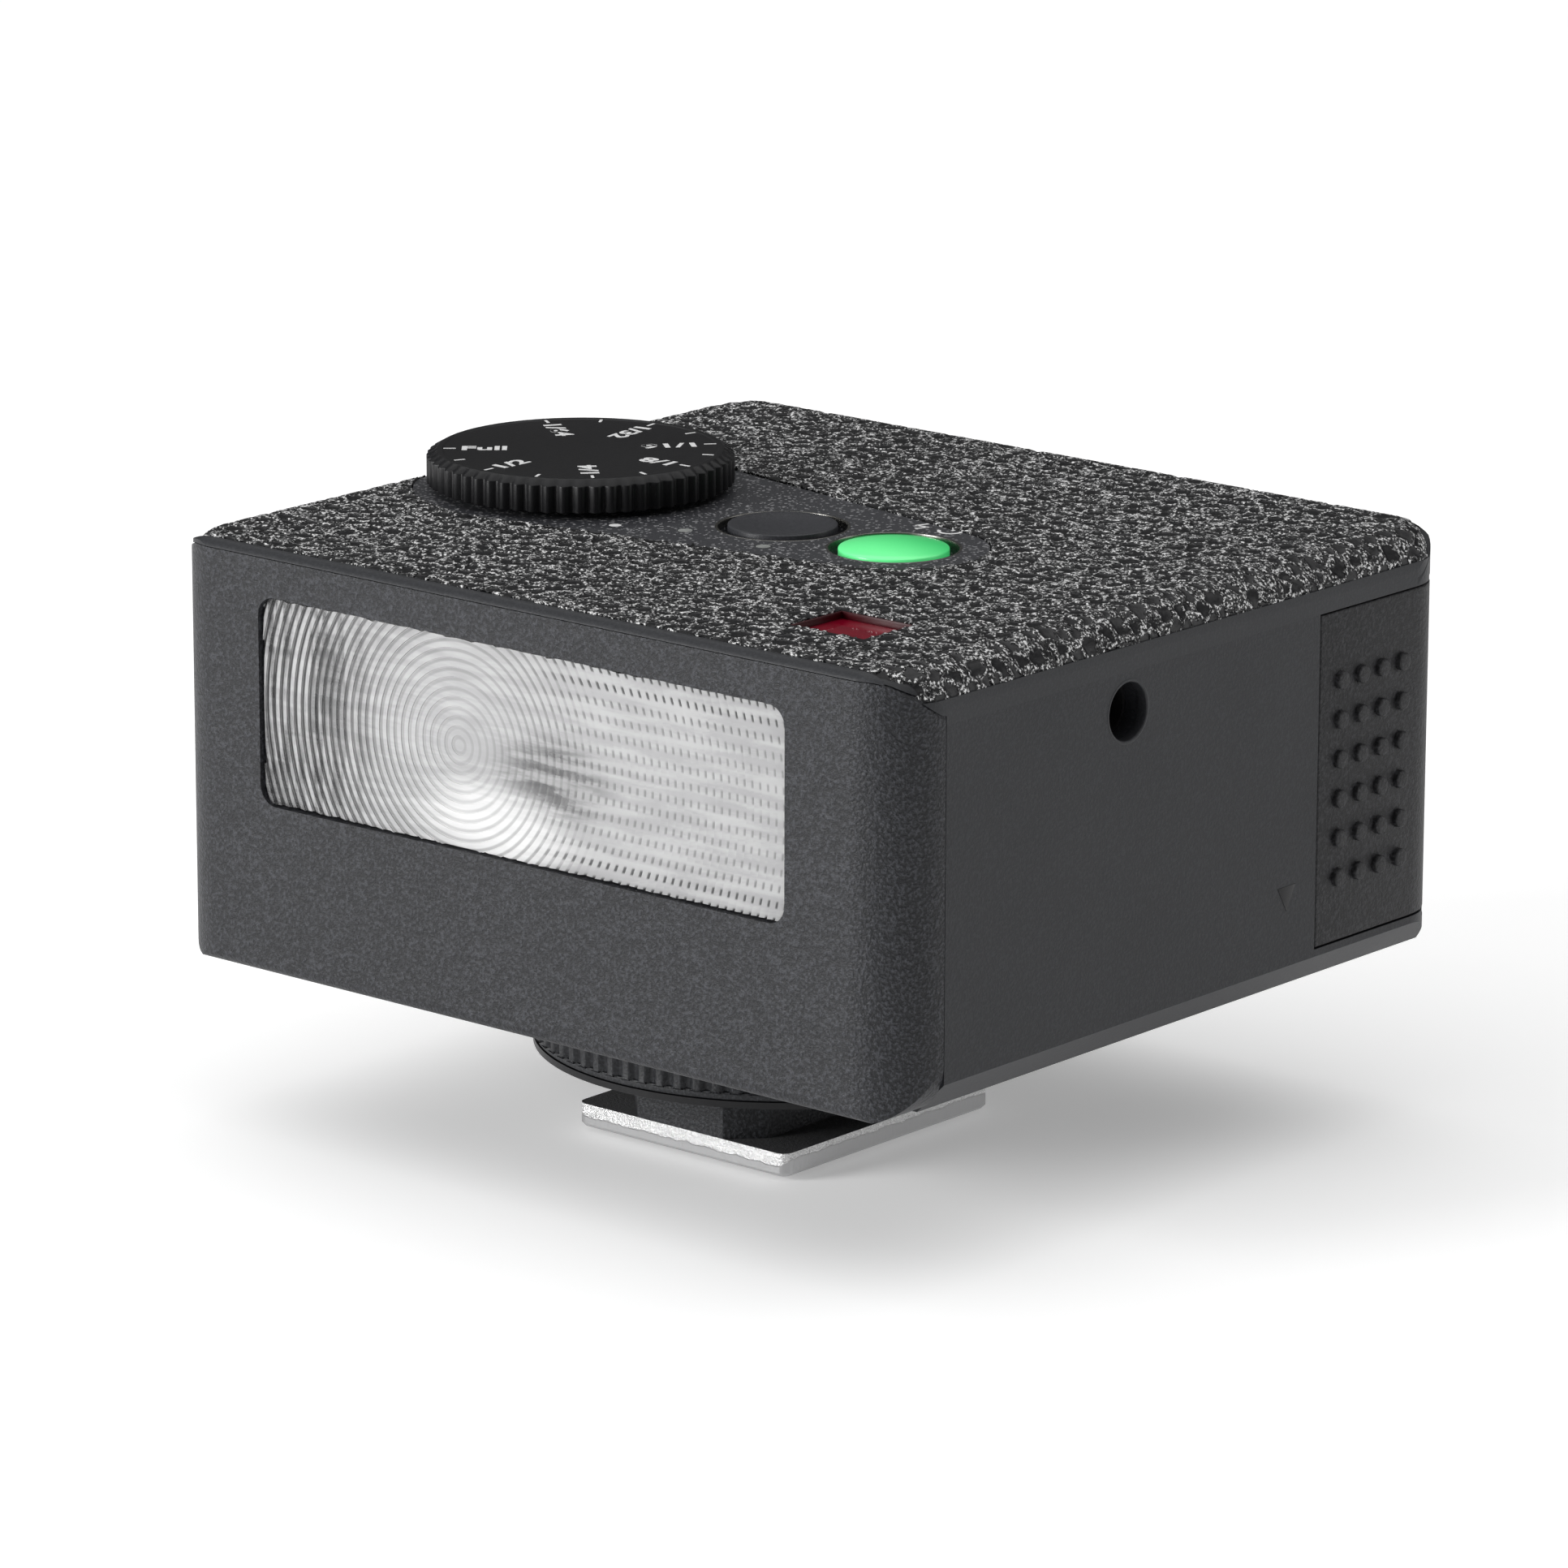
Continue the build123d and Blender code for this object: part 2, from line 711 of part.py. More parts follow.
def lock_ring():
    outline = Circle(ringRadius)
    grooves = Sketch() + [
        loc * Rectangle(2 * ringGrooveDepth, ringGroove) for loc in PolarLocations(ringRadius, ringRibs)
    ]
    body = upright(outline - grooves, ringLow + ringRim, ringTop)
    body += post(0, 0, ringLow, ringLow + ringRim + 0.01, ringRadius - 0.25)
    body -= post(0, 0, 0, far, threadRadius + seam)
    hollow = post(0, 0, ringLow + 1.2, far, ringRadius - 1.7) - post(0, 0, 0, far, threadRadius + 1.4)
    return body - hollow


def foot_plate():
    plan = RectangleRounded(footWidth, footLength, footCorner) - Circle(insulatorRadius)
    body = upright(plan, 0, footThickness)
    body = chamfer(body.edges().group_by(Axis.Z)[0].filter_by(lambda e: e.length > footCorner * 2), 0.25)
    for x, y in footScrewSpots:
        body -= post(x, y, -1, footThickness + 1, footScrewRadius + seam)
        body -= post(x, y, -1, headHeight, footScrewHead + seam)
    return body


def contact_insulator():
    return post(0, 0, 0, footThickness, insulatorRadius) - post(0, 0, -1, far, pinRadius + pinBore)


def contact_pin():
    pin = post(0, 0, -pinProud, footThickness + 1.0, pinRadius)
    pin = fillet(pin.edges().group_by(Axis.Z)[0], 0.3)
    return pin + post(0, 0, footThickness + seam, footThickness + 0.6, 1.7)


def contact_spring():
    low = footThickness + 1.3
    return Pos(0, 0, low) * coil(0.15, 1.2, 6.3 - low, 4)


def screw(x, y, headLow, headRadius, shankRadius, shankEnd, headAt):
    """Pan-head screw; headAt is +1 with the head on top, -1 with the head below."""
    head = post(x, y, headLow, headLow + headHeight, headRadius)
    slot = block(x - headRadius * 0.6, x + headRadius * 0.6, y - 0.2, y + 0.2, headLow, headLow + 0.35)
    cross = block(x - 0.2, x + 0.2, y - headRadius * 0.6, y + headRadius * 0.6, headLow, headLow + 0.35)
    recess = slot + cross
    if headAt > 0:
        recess = Pos(0, 0, headHeight - 0.35) * recess
        shank = post(x, y, shankEnd, headLow + 0.1, shankRadius)
    else:
        shank = post(x, y, headLow + headHeight - 0.1, shankEnd, shankRadius)
    return head - recess + shank


def case_screws():
    return Compound(children=[
        screw(x, y, caseBottom, caseScrewHead, caseScrewRadius, mainBoardLow + 8, -1) for x, y in screwSpots
    ])


def stem_screws():
    return Compound(children=[
        screw(x, y, floorTop, stemScrewHead, stemScrewRadius, caseBottom - 3.9, 1)
        for x, y in stemScrewSpots
    ])


def foot_screws():
    return Compound(children=[
        screw(x, y, 0, footScrewHead, footScrewRadius, footThickness + 3.2, -1) for x, y in footScrewSpots
    ])


write("lower_housing", lower_housing())
write("front_bezel", front_bezel())
write("top_cover", top_cover())
write("leatherette_wrap", leatherette_wrap())
write("control_plate", control_plate())
write("bottom_pad", bottom_pad())
write("fresnel_lens", fresnel_lens())
write("reflector", reflector())
write("flash_tube", flash_tube())
write("tube_boots", tube_boots())
write("tube_electrodes", tube_electrodes())
write("sensor_window", sensor_window())
write("slave_sensor", slave_sensor())
write("power_dial", power_dial())
write("dial_spindle", dial_spindle())
write("rotary_switch", rotary_switch())
write("mode_button", mode_button())
write("power_button", power_button())
write("mode_plunger", switch_plunger(modeX))
write("power_plunger", switch_plunger(powerX))
write("tact_switches", tact_switches())
write("indicator_lights", indicator_lights())
write("indicator_leds", indicator_leds())
write("control_board", control_board())
write("board_pillars", board_pillars())
write("main_board", main_board())
write("main_capacitor", main_capacitor())
write("transformer_core", transformer_core())
write("transformer_winding", transformer_winding())
write("trigger_coil", trigger_coil())
write("power_transistor", power_transistor())
write("sync_jack", sync_jack())
write("jack_springs", jack_springs())
write("battery_cradle", battery_cradle())
write("battery_cells", battery_cells())
write("battery_contacts", battery_contacts())
write("battery_spring", battery_spring())
write("battery_door", battery_door())
write("door_contact", door_contact())
write("foot_stem", foot_stem())
write("clamp_washer", clamp_washer())
write("lock_ring", lock_ring())
write("foot_plate", foot_plate())
write("contact_insulator", contact_insulator())
write("contact_pin", contact_pin())
write("contact_spring", contact_spring())
write("case_screws", case_screws())
write("stem_screws", stem_screws())
write("foot_screws", foot_screws())
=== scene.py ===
import math
import bpy
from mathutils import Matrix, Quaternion, Vector


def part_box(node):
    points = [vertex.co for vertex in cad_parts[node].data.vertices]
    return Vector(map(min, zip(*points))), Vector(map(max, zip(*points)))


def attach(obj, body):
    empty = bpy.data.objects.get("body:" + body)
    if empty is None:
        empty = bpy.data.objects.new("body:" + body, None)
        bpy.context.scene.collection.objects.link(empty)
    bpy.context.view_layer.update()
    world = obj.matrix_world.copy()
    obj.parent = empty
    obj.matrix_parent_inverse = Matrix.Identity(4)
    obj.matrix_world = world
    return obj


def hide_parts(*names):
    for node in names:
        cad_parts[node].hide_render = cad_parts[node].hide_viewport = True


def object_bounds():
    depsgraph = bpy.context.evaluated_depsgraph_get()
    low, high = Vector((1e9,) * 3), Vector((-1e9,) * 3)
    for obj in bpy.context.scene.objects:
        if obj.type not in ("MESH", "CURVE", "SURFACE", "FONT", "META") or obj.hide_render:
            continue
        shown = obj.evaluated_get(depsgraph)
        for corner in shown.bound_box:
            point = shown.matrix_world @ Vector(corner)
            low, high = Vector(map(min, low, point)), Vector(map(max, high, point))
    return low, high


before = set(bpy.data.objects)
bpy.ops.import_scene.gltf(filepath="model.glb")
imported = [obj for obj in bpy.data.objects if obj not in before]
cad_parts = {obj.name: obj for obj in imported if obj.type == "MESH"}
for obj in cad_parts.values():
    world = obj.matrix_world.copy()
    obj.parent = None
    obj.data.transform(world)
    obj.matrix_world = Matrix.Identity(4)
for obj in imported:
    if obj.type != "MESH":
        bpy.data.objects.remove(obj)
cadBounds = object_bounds()
bpy.ops.object.select_all(action="DESELECT")
mm = 0.001
print("frame loaded:", len(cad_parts), "nodes")

# Camera, lights and floor

cameraSet = {
    "azimuth": 40.467,
    "elevation": 14.811,
    "roll": 0.126,
    "distance": 539.5 * mm,
    "target": (-0.10 * mm, 0.0, 23.37 * mm),
    "focalPerWidth": 9857.5 / 1932,  # focal length over the frame's width
    "sensor": 36.0,
}


def placeCamera():
    turn, lift = math.radians(cameraSet["azimuth"]), math.radians(cameraSet["elevation"])
    towards = Vector((math.sin(turn) * math.cos(lift), -math.cos(turn) * math.cos(lift), math.sin(lift)))
    place = Vector(cameraSet["target"]) + towards * cameraSet["distance"]
    bpy.ops.object.camera_add(location=place)
    camera = bpy.context.object
    camera.name = "camera"
    camera.rotation_mode = "QUATERNION"
    roll = Quaternion((0, 0, 1), math.radians(cameraSet["roll"]))
    camera.rotation_quaternion = (-towards).to_track_quat("-Z", "Y") @ roll
    camera.data.sensor_width = cameraSet["sensor"]
    camera.data.lens = cameraSet["focalPerWidth"] * cameraSet["sensor"]
    camera.data.clip_start = 0.01
    camera.data.clip_end = 20
    bpy.context.scene.camera = camera


# Each light: where it stands, what it looks at, its size, its power in watts.
lightSet = {
    "frontLeftBox": {
        "at": (-0.42, -0.80, 0.26), "to": (0.02, -0.02, 0.03), "size": (0.38, 0.36), "power": 7.6},
    "rightRearBox": {
        "at": (0.70, 0.62, 0.22), "to": (0.02, 0, 0.03), "size": (0.50, 0.40), "power": 1.1},
    "topBox": {"at": (-0.05, 0.10, 1.3), "to": (0, 0, 0), "size": (2.6, 2.6), "power": 25.0},
}
worldSet = {"horizon": 0.14, "sky": 0.04, "from": 0.04, "to": 0.16}  # sines of the heights where it darkens


def placeLights():
    for name, light in lightSet.items():
        bpy.ops.object.light_add(type="AREA", location=light["at"])
        lamp = bpy.context.object
        lamp.name = name
        lamp.data.shape = "RECTANGLE"
        lamp.data.size, lamp.data.size_y = light["size"]
        lamp.data.energy = light["power"]
        aim = Vector(light["to"]) - Vector(light["at"])
        lamp.rotation_mode = "QUATERNION"
        lamp.rotation_quaternion = aim.to_track_quat("-Z", "Y")
    world = bpy.data.worlds.new("studio")
    world.use_nodes = True
    nodes, link = world.node_tree.nodes, world.node_tree.links.new
    seat, split, fade = (nodes.new(kind) for kind in (
        "ShaderNodeTexCoord", "ShaderNodeSeparateXYZ", "ShaderNodeMapRange"))
    fade.inputs["From Min"].default_value = worldSet["from"]
    fade.inputs["From Max"].default_value = worldSet["to"]
    fade.inputs["To Min"].default_value = worldSet["horizon"]
    fade.inputs["To Max"].default_value = worldSet["sky"]
    link(seat.outputs["Generated"], split.inputs[0])
    link(split.outputs["Z"], fade.inputs["Value"])
    link(fade.outputs[0], nodes["Background"].inputs["Strength"])
    nodes["Background"].inputs["Color"].default_value = (1, 1, 1, 1)
    bpy.context.scene.world = world
    bpy.context.scene.view_settings.view_transform = "Standard"


# Finishes


class Wire:  # one output of a node; arithmetic on it adds Math nodes
    def __init__(self, finish, socket):
        self.finish = finish
        self.socket = socket

    def sum(self, operation, first, *others):
        values = dict(enumerate((first,) + others))
        return self.finish.node("ShaderNodeMath", {"operation": operation}, values)

    def __add__(self, other):
        return self.sum("ADD", self, other)

    def __sub__(self, other):
        return self.sum("SUBTRACT", self, other)

    def __rsub__(self, other):
        return self.sum("SUBTRACT", other, self)

    def __mul__(self, other):
        return self.sum("MULTIPLY", self, other)

    def __truediv__(self, other):
        return self.sum("DIVIDE", self, other)

    def __pow__(self, other):
        return self.sum("POWER", self, other)

    def fraction(self):
        return self.sum("FRACT", self)

    def higher(self, other):
        return self.sum("MAXIMUM", self, other)

    def lower(self, other):
        return self.sum("MINIMUM", self, other)

    def above(self, limit):
        return self.sum("GREATER_THAN", self, limit)

    __radd__ = __add__
    __rmul__ = __mul__


class Finish:  # one material, and the one method that makes its nodes
    def __init__(self, name):
        self.material = bpy.data.materials.new(name)
        self.material.use_nodes = True
        self.tree = self.material.node_tree
        self.shader = self.tree.nodes["Principled BSDF"]

    def node(self, kind, settings=None, values=None, output=0):
        made = self.tree.nodes.new(kind)
        for key, value in (settings or {}).items():
            if key == "stops":
                for index, (place, colour) in enumerate(value):
                    stops = made.color_ramp.elements
                    stop = stops[index] if index < len(stops) else stops.new(place)
                    stop.position = place
                    stop.color = colour
            else:
                setattr(made, key, value)
        for key, value in (values or {}).items():
            self.feed(made.inputs[key], value)
        return Wire(self, made.outputs[output])

    def feed(self, socket, value):
        if isinstance(value, Wire):
            self.tree.links.new(value.socket, socket)
        else:
            socket.default_value = value

    def surface(self, values):
        for key, value in values.items():
            self.feed(self.shader.inputs[key], value)
        return self.material

    def place(self, stretch=(1, 1, 1)):  # object coordinates in millimetres
        seat = self.node("ShaderNodeTexCoord", output="Object")
        scale = tuple(1 / mm / part for part in stretch)
        return self.node("ShaderNodeMapping", values={"Vector": seat, "Scale": scale})

    def noise(self, size, detail=2.0, where=None, rough=0.5):
        where = where or self.place()
        values = {"Vector": where, "Scale": 1 / size, "Detail": detail, "Roughness": rough}
        return self.node("ShaderNodeTexNoise", values=values)

    def cells(self, size, feature, where=None, output=0):
        where = where or self.place()
        values = {"Vector": where, "Scale": 1 / size}
        return self.node("ShaderNodeTexVoronoi", {"feature": feature}, values, output)

    def axis(self, letter, where=None):
        return self.node("ShaderNodeSeparateXYZ", values={"Vector": where or self.place()}, output=letter)

    def spread(self, value, low, high, out=(0.0, 1.0)):
        values = {"Value": value, "From Min": low, "From Max": high, "To Min": out[0], "To Max": out[1]}
        return self.node("ShaderNodeMapRange", {"interpolation_type": "SMOOTHSTEP"}, values)

    def blend(self, mask, dark, light):
        return self.node("ShaderNodeMix", {"data_type": "RGBA"}, {0: mask, 6: dark, 7: light}, 2)

    def relief(self, height, depth, strength=1.0, under=None):
        values = {"Height": height, "Distance": depth * mm, "Strength": strength}
        if under:
            values["Normal"] = under
        return self.node("ShaderNodeBump", values=values)


# Fresnel lens: rings in front, bands behind
lensSet = {
    "centreX": -5.6 * mm,
    "centreZ": 30.25 * mm,
    "pitch": 0.65 * mm,
    "steps": 160,
    "deep": 0.20 * mm,  # facet depth at the outermost ring
    "bandPitch": 1.08 * mm,
    "bandHigh": 0.05 * mm,
    "bandCuts": 96,
    "flange": 1.65 * mm,  # the pane's edge, hidden behind the bezel
    "ringThick": 0.62 * mm,
    "airGap": 0.03 * mm,  # between the ringed and the banded plate
    "riser": 0.03 * mm,
    "past": 8 * mm,  # how far the rings run past the window before they are cut
    # the pane's colours are painted light: bright and lit are painted reflection, shadow and dark are painted
    # shade
    "bright": (0.58, 0.58, 0.585),
    "lit": (0.95, 0.95, 0.95),
    "shadow": (0.14, 0.14, 0.143),
    "dark": (0.035, 0.035, 0.036),
    "paintedShadePatch": (8.2, -1.0, 5.6, 3.1),  # place from the rings' centre and half sizes, mm
    "glow": (3.0, -5.2, 7.5, 3.4),
}


def shade(colour, factor=1.0):
    return tuple(part * factor for part in colour) + (1.0,)


# Moulded plastics: colour, roughness, grain size in mm, relief in mm, how much the grain changes the colour
mouldedSet = {
    "housing": ((0.020, 0.021, 0.024), 0.47, 0.20, 0.022, 0.22),
    "bezel": ((0.027, 0.028, 0.032), 0.44, 0.22, 0.075, 0.50),
    "cover": ((0.023, 0.024, 0.027), 0.45, 0.18, 0.010, 0.15),
    "door": ((0.021, 0.021, 0.023), 0.50, 0.26, 0.055, 0.45),
    "pad": ((0.010, 0.010, 0.011), 0.36, 0.30, 0.004, 0.10),
    "stem": ((0.023, 0.024, 0.027), 0.46, 0.24, 0.070, 0.50),
    "ring": ((0.026, 0.027, 0.030), 0.46, 0.20, 0.035, 0.30),
    "washer": ((0.008, 0.008, 0.009), 0.40, 0.25, 0.006, 0.10),
    "dial": ((0.006, 0.006, 0.007), 0.42, 0.10, 0.004, 0.12),
    "blackButton": ((0.038, 0.039, 0.044), 0.40, 0.16, 0.005, 0.15),
    "switchGrey": ((0.09, 0.09, 0.10), 0.5, 0.3, 0.006, 0.1),
    "chipBlack": ((0.014, 0.014, 0.015), 0.5, 0.2, 0.008, 0.2),
    "cradle": ((0.02, 0.02, 0.021), 0.55, 0.3, 0.01, 0.1),
    "silicone": ((0.62, 0.60, 0.56), 0.5, 0.5, 0.004, 0.1),
    "sleeve": ((0.018, 0.018, 0.022), 0.22, 2.0, 0.01, 0.1),
    "ferrite": ((0.05, 0.05, 0.055), 0.6, 0.2, 0.02, 0.3),
    "coilCase": ((0.25, 0.015, 0.015), 0.25, 0.6, 0.006, 0.1),
    "lightPipe": ((0.30, 0.31, 0.30), 0.3, 0.6, 0.004, 0.1),
    "print": ((0.80, 0.80, 0.80), 0.45, 0.12, 0.002, 0.05),
    "arrow": ((0.006, 0.006, 0.007), 0.24, 0.5, 0.002, 0.05),
    "recess": ((0.045, 0.001, 0.004), 0.40, 0.5, 0.002, 0.05),
}


def mouldedPlastic(name):
    colour, rough, size, depth, change = mouldedSet[name]
    finish = Finish(name + "Plastic")
    grain = finish.noise(size, 2.0, rough=0.6)
    broad = finish.noise(11.0, 2.0)
    sparkle = finish.spread(grain, 0.42, 0.72)
    tone = finish.blend(sparkle, shade(colour, 1 - change), shade(colour, 1 + 1.6 * change))
    return finish.surface({
        "Base Color": tone,
        "Roughness": grain * 0.16 + broad * 0.08 + (rough - 0.12),
        "Normal": finish.relief(grain, depth * 1.6),
        "Specular IOR Level": 0.27,
    })


# Pebbled leatherette: dark plates about a millimetre across between crinkled ridges, the ridges painted near
# white as a highlight
leatherSet = {
    "plate": 1.30,  # mm across one plate
    "warpSize": 0.7,
    "warp": 0.50,  # mm that the plate edges wander
    "relief": 0.10,  # mm from plate to ridge
    "ridge": (0.045, 0.15),  # the ridge's top and foot, as distances from the plate's edge
    "crumb": 0.20,
    "flat": (0.005, 0.005, 0.006),
    # edge: the ridges' painted highlight colour, near white, standing in for the lights' glints
    "edge": (0.92, 0.92, 0.92),
}


def leatheretteFinish():
    finish = Finish("pebbledLeatherette")
    where = finish.place()
    swirl = {"Vector": where, "Scale": 1 / leatherSet["warpSize"], "Detail": 1.0}
    drift = finish.node("ShaderNodeTexNoise", values=swirl, output=1)
    half = finish.node("ShaderNodeVectorMath", {"operation": "SUBTRACT"}, {0: drift, 1: (0.5, 0.5, 0.5)})
    push = finish.node(
        "ShaderNodeVectorMath", {"operation": "SCALE"}, {0: half, "Scale": 2 * leatherSet["warp"]})
    warped = finish.node("ShaderNodeVectorMath", {"operation": "ADD"}, {0: where, 1: push})
    edge = finish.cells(leatherSet["plate"], "DISTANCE_TO_EDGE", warped)
    crumb = finish.noise(leatherSet["crumb"], 3.0, rough=0.65)
    top, foot = leatherSet["ridge"]
    wall = finish.spread(edge, foot, top)
    ridge = finish.spread(edge, foot * 1.1, top) * finish.spread(crumb, 0.50, 0.60)
    height = wall * (0.55 + crumb * 0.9) + crumb * 0.12
    return finish.surface({
        # the ridge mask lays the painted highlight colour on the ridges' crests
        "Base Color": finish.blend(ridge, shade(leatherSet["flat"]), shade(leatherSet["edge"])),
        "Roughness": 0.30 + crumb * 0.14 - ridge * 0.08,
        "Normal": finish.relief(height, leatherSet["relief"] * 1.6),
        "Specular IOR Level": 0.35,
    })


def satinPlateFinish():
    finish = Finish("satinPlate")
    fleck = finish.cells(0.16, "F1", output=1)
    pick = finish.axis("X", fleck)
    grain = finish.noise(0.14, 2.0)
    return finish.surface({
        "Base Color": finish.blend(pick.above(0.90), shade((0.034, 0.035, 0.040)), shade((0.26, 0.26, 0.27))),
        "Roughness": 0.36 + grain * 0.12,
        "Normal": finish.relief(grain, 0.006),
        "Coat Weight": 0.15,
    })


def greenButtonFinish():
    finish = Finish("greenButtonPaintedGlow")
    where = finish.place()
    low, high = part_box("power_button")
    deep = finish.axis("Y", where)
    # the front is painted lighter green than the rear: a painted highlight
    front = finish.spread(deep, high.y / mm - 0.3, low.y / mm + 0.6)
    haze = finish.noise(0.9, 2.0)
    tone = finish.blend(front, shade((0.030, 0.52, 0.135)), shade((0.13, 0.80, 0.27)))
    return finish.surface({
        "Base Color": tone,
        "Roughness": 0.28 + haze * 0.1,
        "Normal": finish.relief(haze, 0.01),
        # the emission is a painted glow in the button's tone
        "Emission Color": tone,
        "Emission Strength": 0.42,
        "Coat Weight": 0.3,
    })


def redWindowFinish():
    finish = Finish("redWindow")
    haze = finish.noise(1.3, 2.0)
    return finish.surface({
        "Base Color": finish.blend(haze, shade((0.16, 0.002, 0.010)), shade((0.34, 0.004, 0.028))),
        "Roughness": 0.08 + haze * 0.06,
        "Normal": finish.relief(haze, 0.01),
        "Coat Weight": 0.8,
        "Coat Roughness": 0.05,
    })


def metalFinish(name, colour, rough, stretch, size, depth, metallic=1.0):
    finish = Finish(name)
    lines = finish.noise(size, 3.0, finish.place(stretch))
    cloud = finish.noise(3.0, 2.0)
    return finish.surface({
        "Base Color": finish.blend(lines * 0.6 + cloud * 0.4, shade(colour, 0.82), shade(colour, 1.12)),
        "Metallic": metallic,
        "Roughness": lines * 0.18 + cloud * 0.1 + (rough - 0.12),
        "Normal": finish.relief(lines, depth),
    })


def shearedFootFinish():  # black faces, torn bright band above a smooth scored one on the edges
    finish = Finish("shearedFoot")
    where = finish.place()
    low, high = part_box("foot_plate")
    level = finish.axis("Z", where)
    facing = finish.node("ShaderNodeNewGeometry", output="Normal")
    upward = finish.axis("Z", facing)
    isFace = finish.spread(upward, 0.8, 0.95).higher(finish.spread(upward, -0.8, -0.95))
    wander = finish.noise(0.9, 3.0, finish.place((1, 1, 4)))
    sideways = finish.axis("X", facing)
    torn = finish.spread(level + wander * 0.5 - sideways * sideways * 0.42, 0.95, 1.06)
    rough = finish.noise(0.20, 3.0, rough=0.7)
    scores = finish.noise(0.14, 2.0, finish.place((1, 1, 14)))
    bare = finish.blend(torn, shade((0.52, 0.52, 0.525)), shade((0.80, 0.80, 0.80)))
    tone = finish.blend(isFace, bare, shade((0.075, 0.075, 0.078)))
    relief = torn * rough * 1.3 + (1 - torn) * scores * 0.35
    return finish.surface({
        "Base Color": tone,
        "Metallic": 1 - isFace,
        "Roughness": isFace * 0.12 + rough * 0.14 + (1 - torn) * 0.08 + 0.2,
        "Normal": finish.relief(relief, 0.12),
    })


def boardFinish():
    finish = Finish("greenBoard")
    tracks = finish.cells(1.6, "DISTANCE_TO_EDGE")
    grain = finish.noise(0.4, 2.0)
    between = finish.spread(tracks, 0.05, 0.09)
    return finish.surface({
        "Base Color": finish.blend(between, shade((0.03, 0.22, 0.09)), shade((0.012, 0.12, 0.05))),
        "Roughness": 0.3 + grain * 0.1,
        "Normal": finish.relief(tracks.lower(0.08), 0.05),
    })


def clearFinish(name, tint, rough):
    finish = Finish(name)
    haze = finish.noise(0.5, 2.0)
    return finish.surface({
        "Base Color": shade(tint),
        "Roughness": haze * 0.03 + rough,
        "IOR": 1.49,
        "Transmission Weight": 1.0,
        "Normal": finish.relief(haze, 0.002),
    })


# The clear pane is coloured with painted reflection and shade: dark painted lines in the ring gaps, a painted
# shade patch, darker painted streaks on the left and a painted highlight oval (glow)
def ringedLensFinish():
    finish = Finish("ringedLens")
    where = finish.place()
    x = finish.axis("X", where) - lensSet["centreX"] / mm
    z = finish.axis("Z", where) - lensSet["centreZ"] / mm
    reach = (x * x + z * z) ** 0.5
    tooth = (reach / (lensSet["pitch"] / mm)).fraction()
    gap = finish.spread(tooth, 0.52, 0.72) * finish.spread(tooth, 1.0, 0.90)
    band = (z / (lensSet["bandPitch"] / mm)).fraction()
    row = finish.spread(band, 0.24, 0.44) * finish.spread(band, 0.90, 0.68)
    right = finish.spread(x, 5.0, 13.0)
    left = finish.spread(x, -6.0, -13.0)
    outer = finish.spread(z * z, 16.0, 38.0)  # the top and bottom rows have the longest ticks
    contrast = finish.spread(reach, 1.0, 14.0) * 0.55 + 0.25
    dark = gap * (contrast * (1 - right) + row * right * (0.55 + outer * 0.45)) + gap * left * 0.2
    streak = finish.noise(0.9, 3.0, finish.place((9, 1, 1)), 0.6)
    haze = finish.noise(2.6, 2.0, finish.place((1, 1, 0.35)))
    line = finish.spread(streak, 0.38, 0.60)
    # a painted shade patch, streaked along the rings
    paintedShadePatch = finish.spread(patch(x, z, lensSet["paintedShadePatch"]) + streak * 0.6, 1.5, 0.5)
    paintedShadePatch = paintedShadePatch * (0.35 + line * 0.65)
    # glow: an oval of painted highlight
    glow = finish.spread(patch(x, z, lensSet["glow"]) + streak * 0.3, 1.35, 0.45)
    upright = finish.spread(finish.noise(1.0, 3.0, finish.place((1, 1, 9)), 0.6), 0.42, 0.60)
    shadow = (paintedShadePatch + left * upright * 0.8 + haze * 0.3).lower(1.0) * (1 - glow)
    body = finish.blend(shadow, shade(lensSet["bright"]), shade(lensSet["shadow"]))
    lit = finish.blend(glow * 0.8 + (1 - line) * 0.25, body, shade(lensSet["lit"]))
    tone = finish.blend(dark, lit, shade(lensSet["dark"]))
    return finish.surface({
        "Base Color": tone,
        "Alpha": 0.66 + dark * 0.25 - shadow * 0.15,
        "Roughness": 0.10 + haze * 0.08,
        "Normal": finish.relief(haze, 0.02),
        "Specular IOR Level": 0.6,
    })


def patch(x, z, oval):  # grows from nought at the middle of an oval to one at its edge
    acrossPart = (x - oval[0]) / oval[2]
    upPart = (z - oval[1]) / oval[3]
    return (acrossPart * acrossPart + upPart * upPart) ** 0.5


def makeFinishes():
    made = {name: mouldedPlastic(name) for name in mouldedSet}
    made["leather"] = leatheretteFinish()
    made["plate"] = satinPlateFinish()
    made["green"] = greenButtonFinish()
    made["red"] = redWindowFinish()
    made["foot"] = shearedFootFinish()
    made["board"] = boardFinish()
    made["lens"] = ringedLensFinish()
    made["tube"] = clearFinish("tubeGlass", (0.95, 0.97, 0.97), 0.02)
    made["mirror"] = metalFinish("reflectorSheet", (0.90, 0.90, 0.91), 0.24, (1, 12, 12), 0.8, 0.01)
    made["steel"] = metalFinish("platedSteel", (0.62, 0.62, 0.63), 0.3, (1, 1, 1), 0.3, 0.006)
    made["gold"] = metalFinish("goldContact", (0.85, 0.62, 0.30), 0.25, (1, 1, 1), 0.3, 0.006)
    made["wellRim"] = metalFinish("wellRim", (0.24, 0.235, 0.22), 0.28, (1, 1, 1), 0.3, 0.006)
    made["copper"] = metalFinish("windingCopper", (0.62, 0.26, 0.10), 0.3, (10, 10, 1), 0.25, 0.06)
    made["cell"] = metalFinish("cellSleeve", (0.22, 0.24, 0.28), 0.35, (10, 1, 1), 0.4, 0.004, 0.6)
    made["screw"] = metalFinish("blackScrew", (0.08, 0.08, 0.085), 0.35, (1, 1, 1), 0.2, 0.01)
    return made


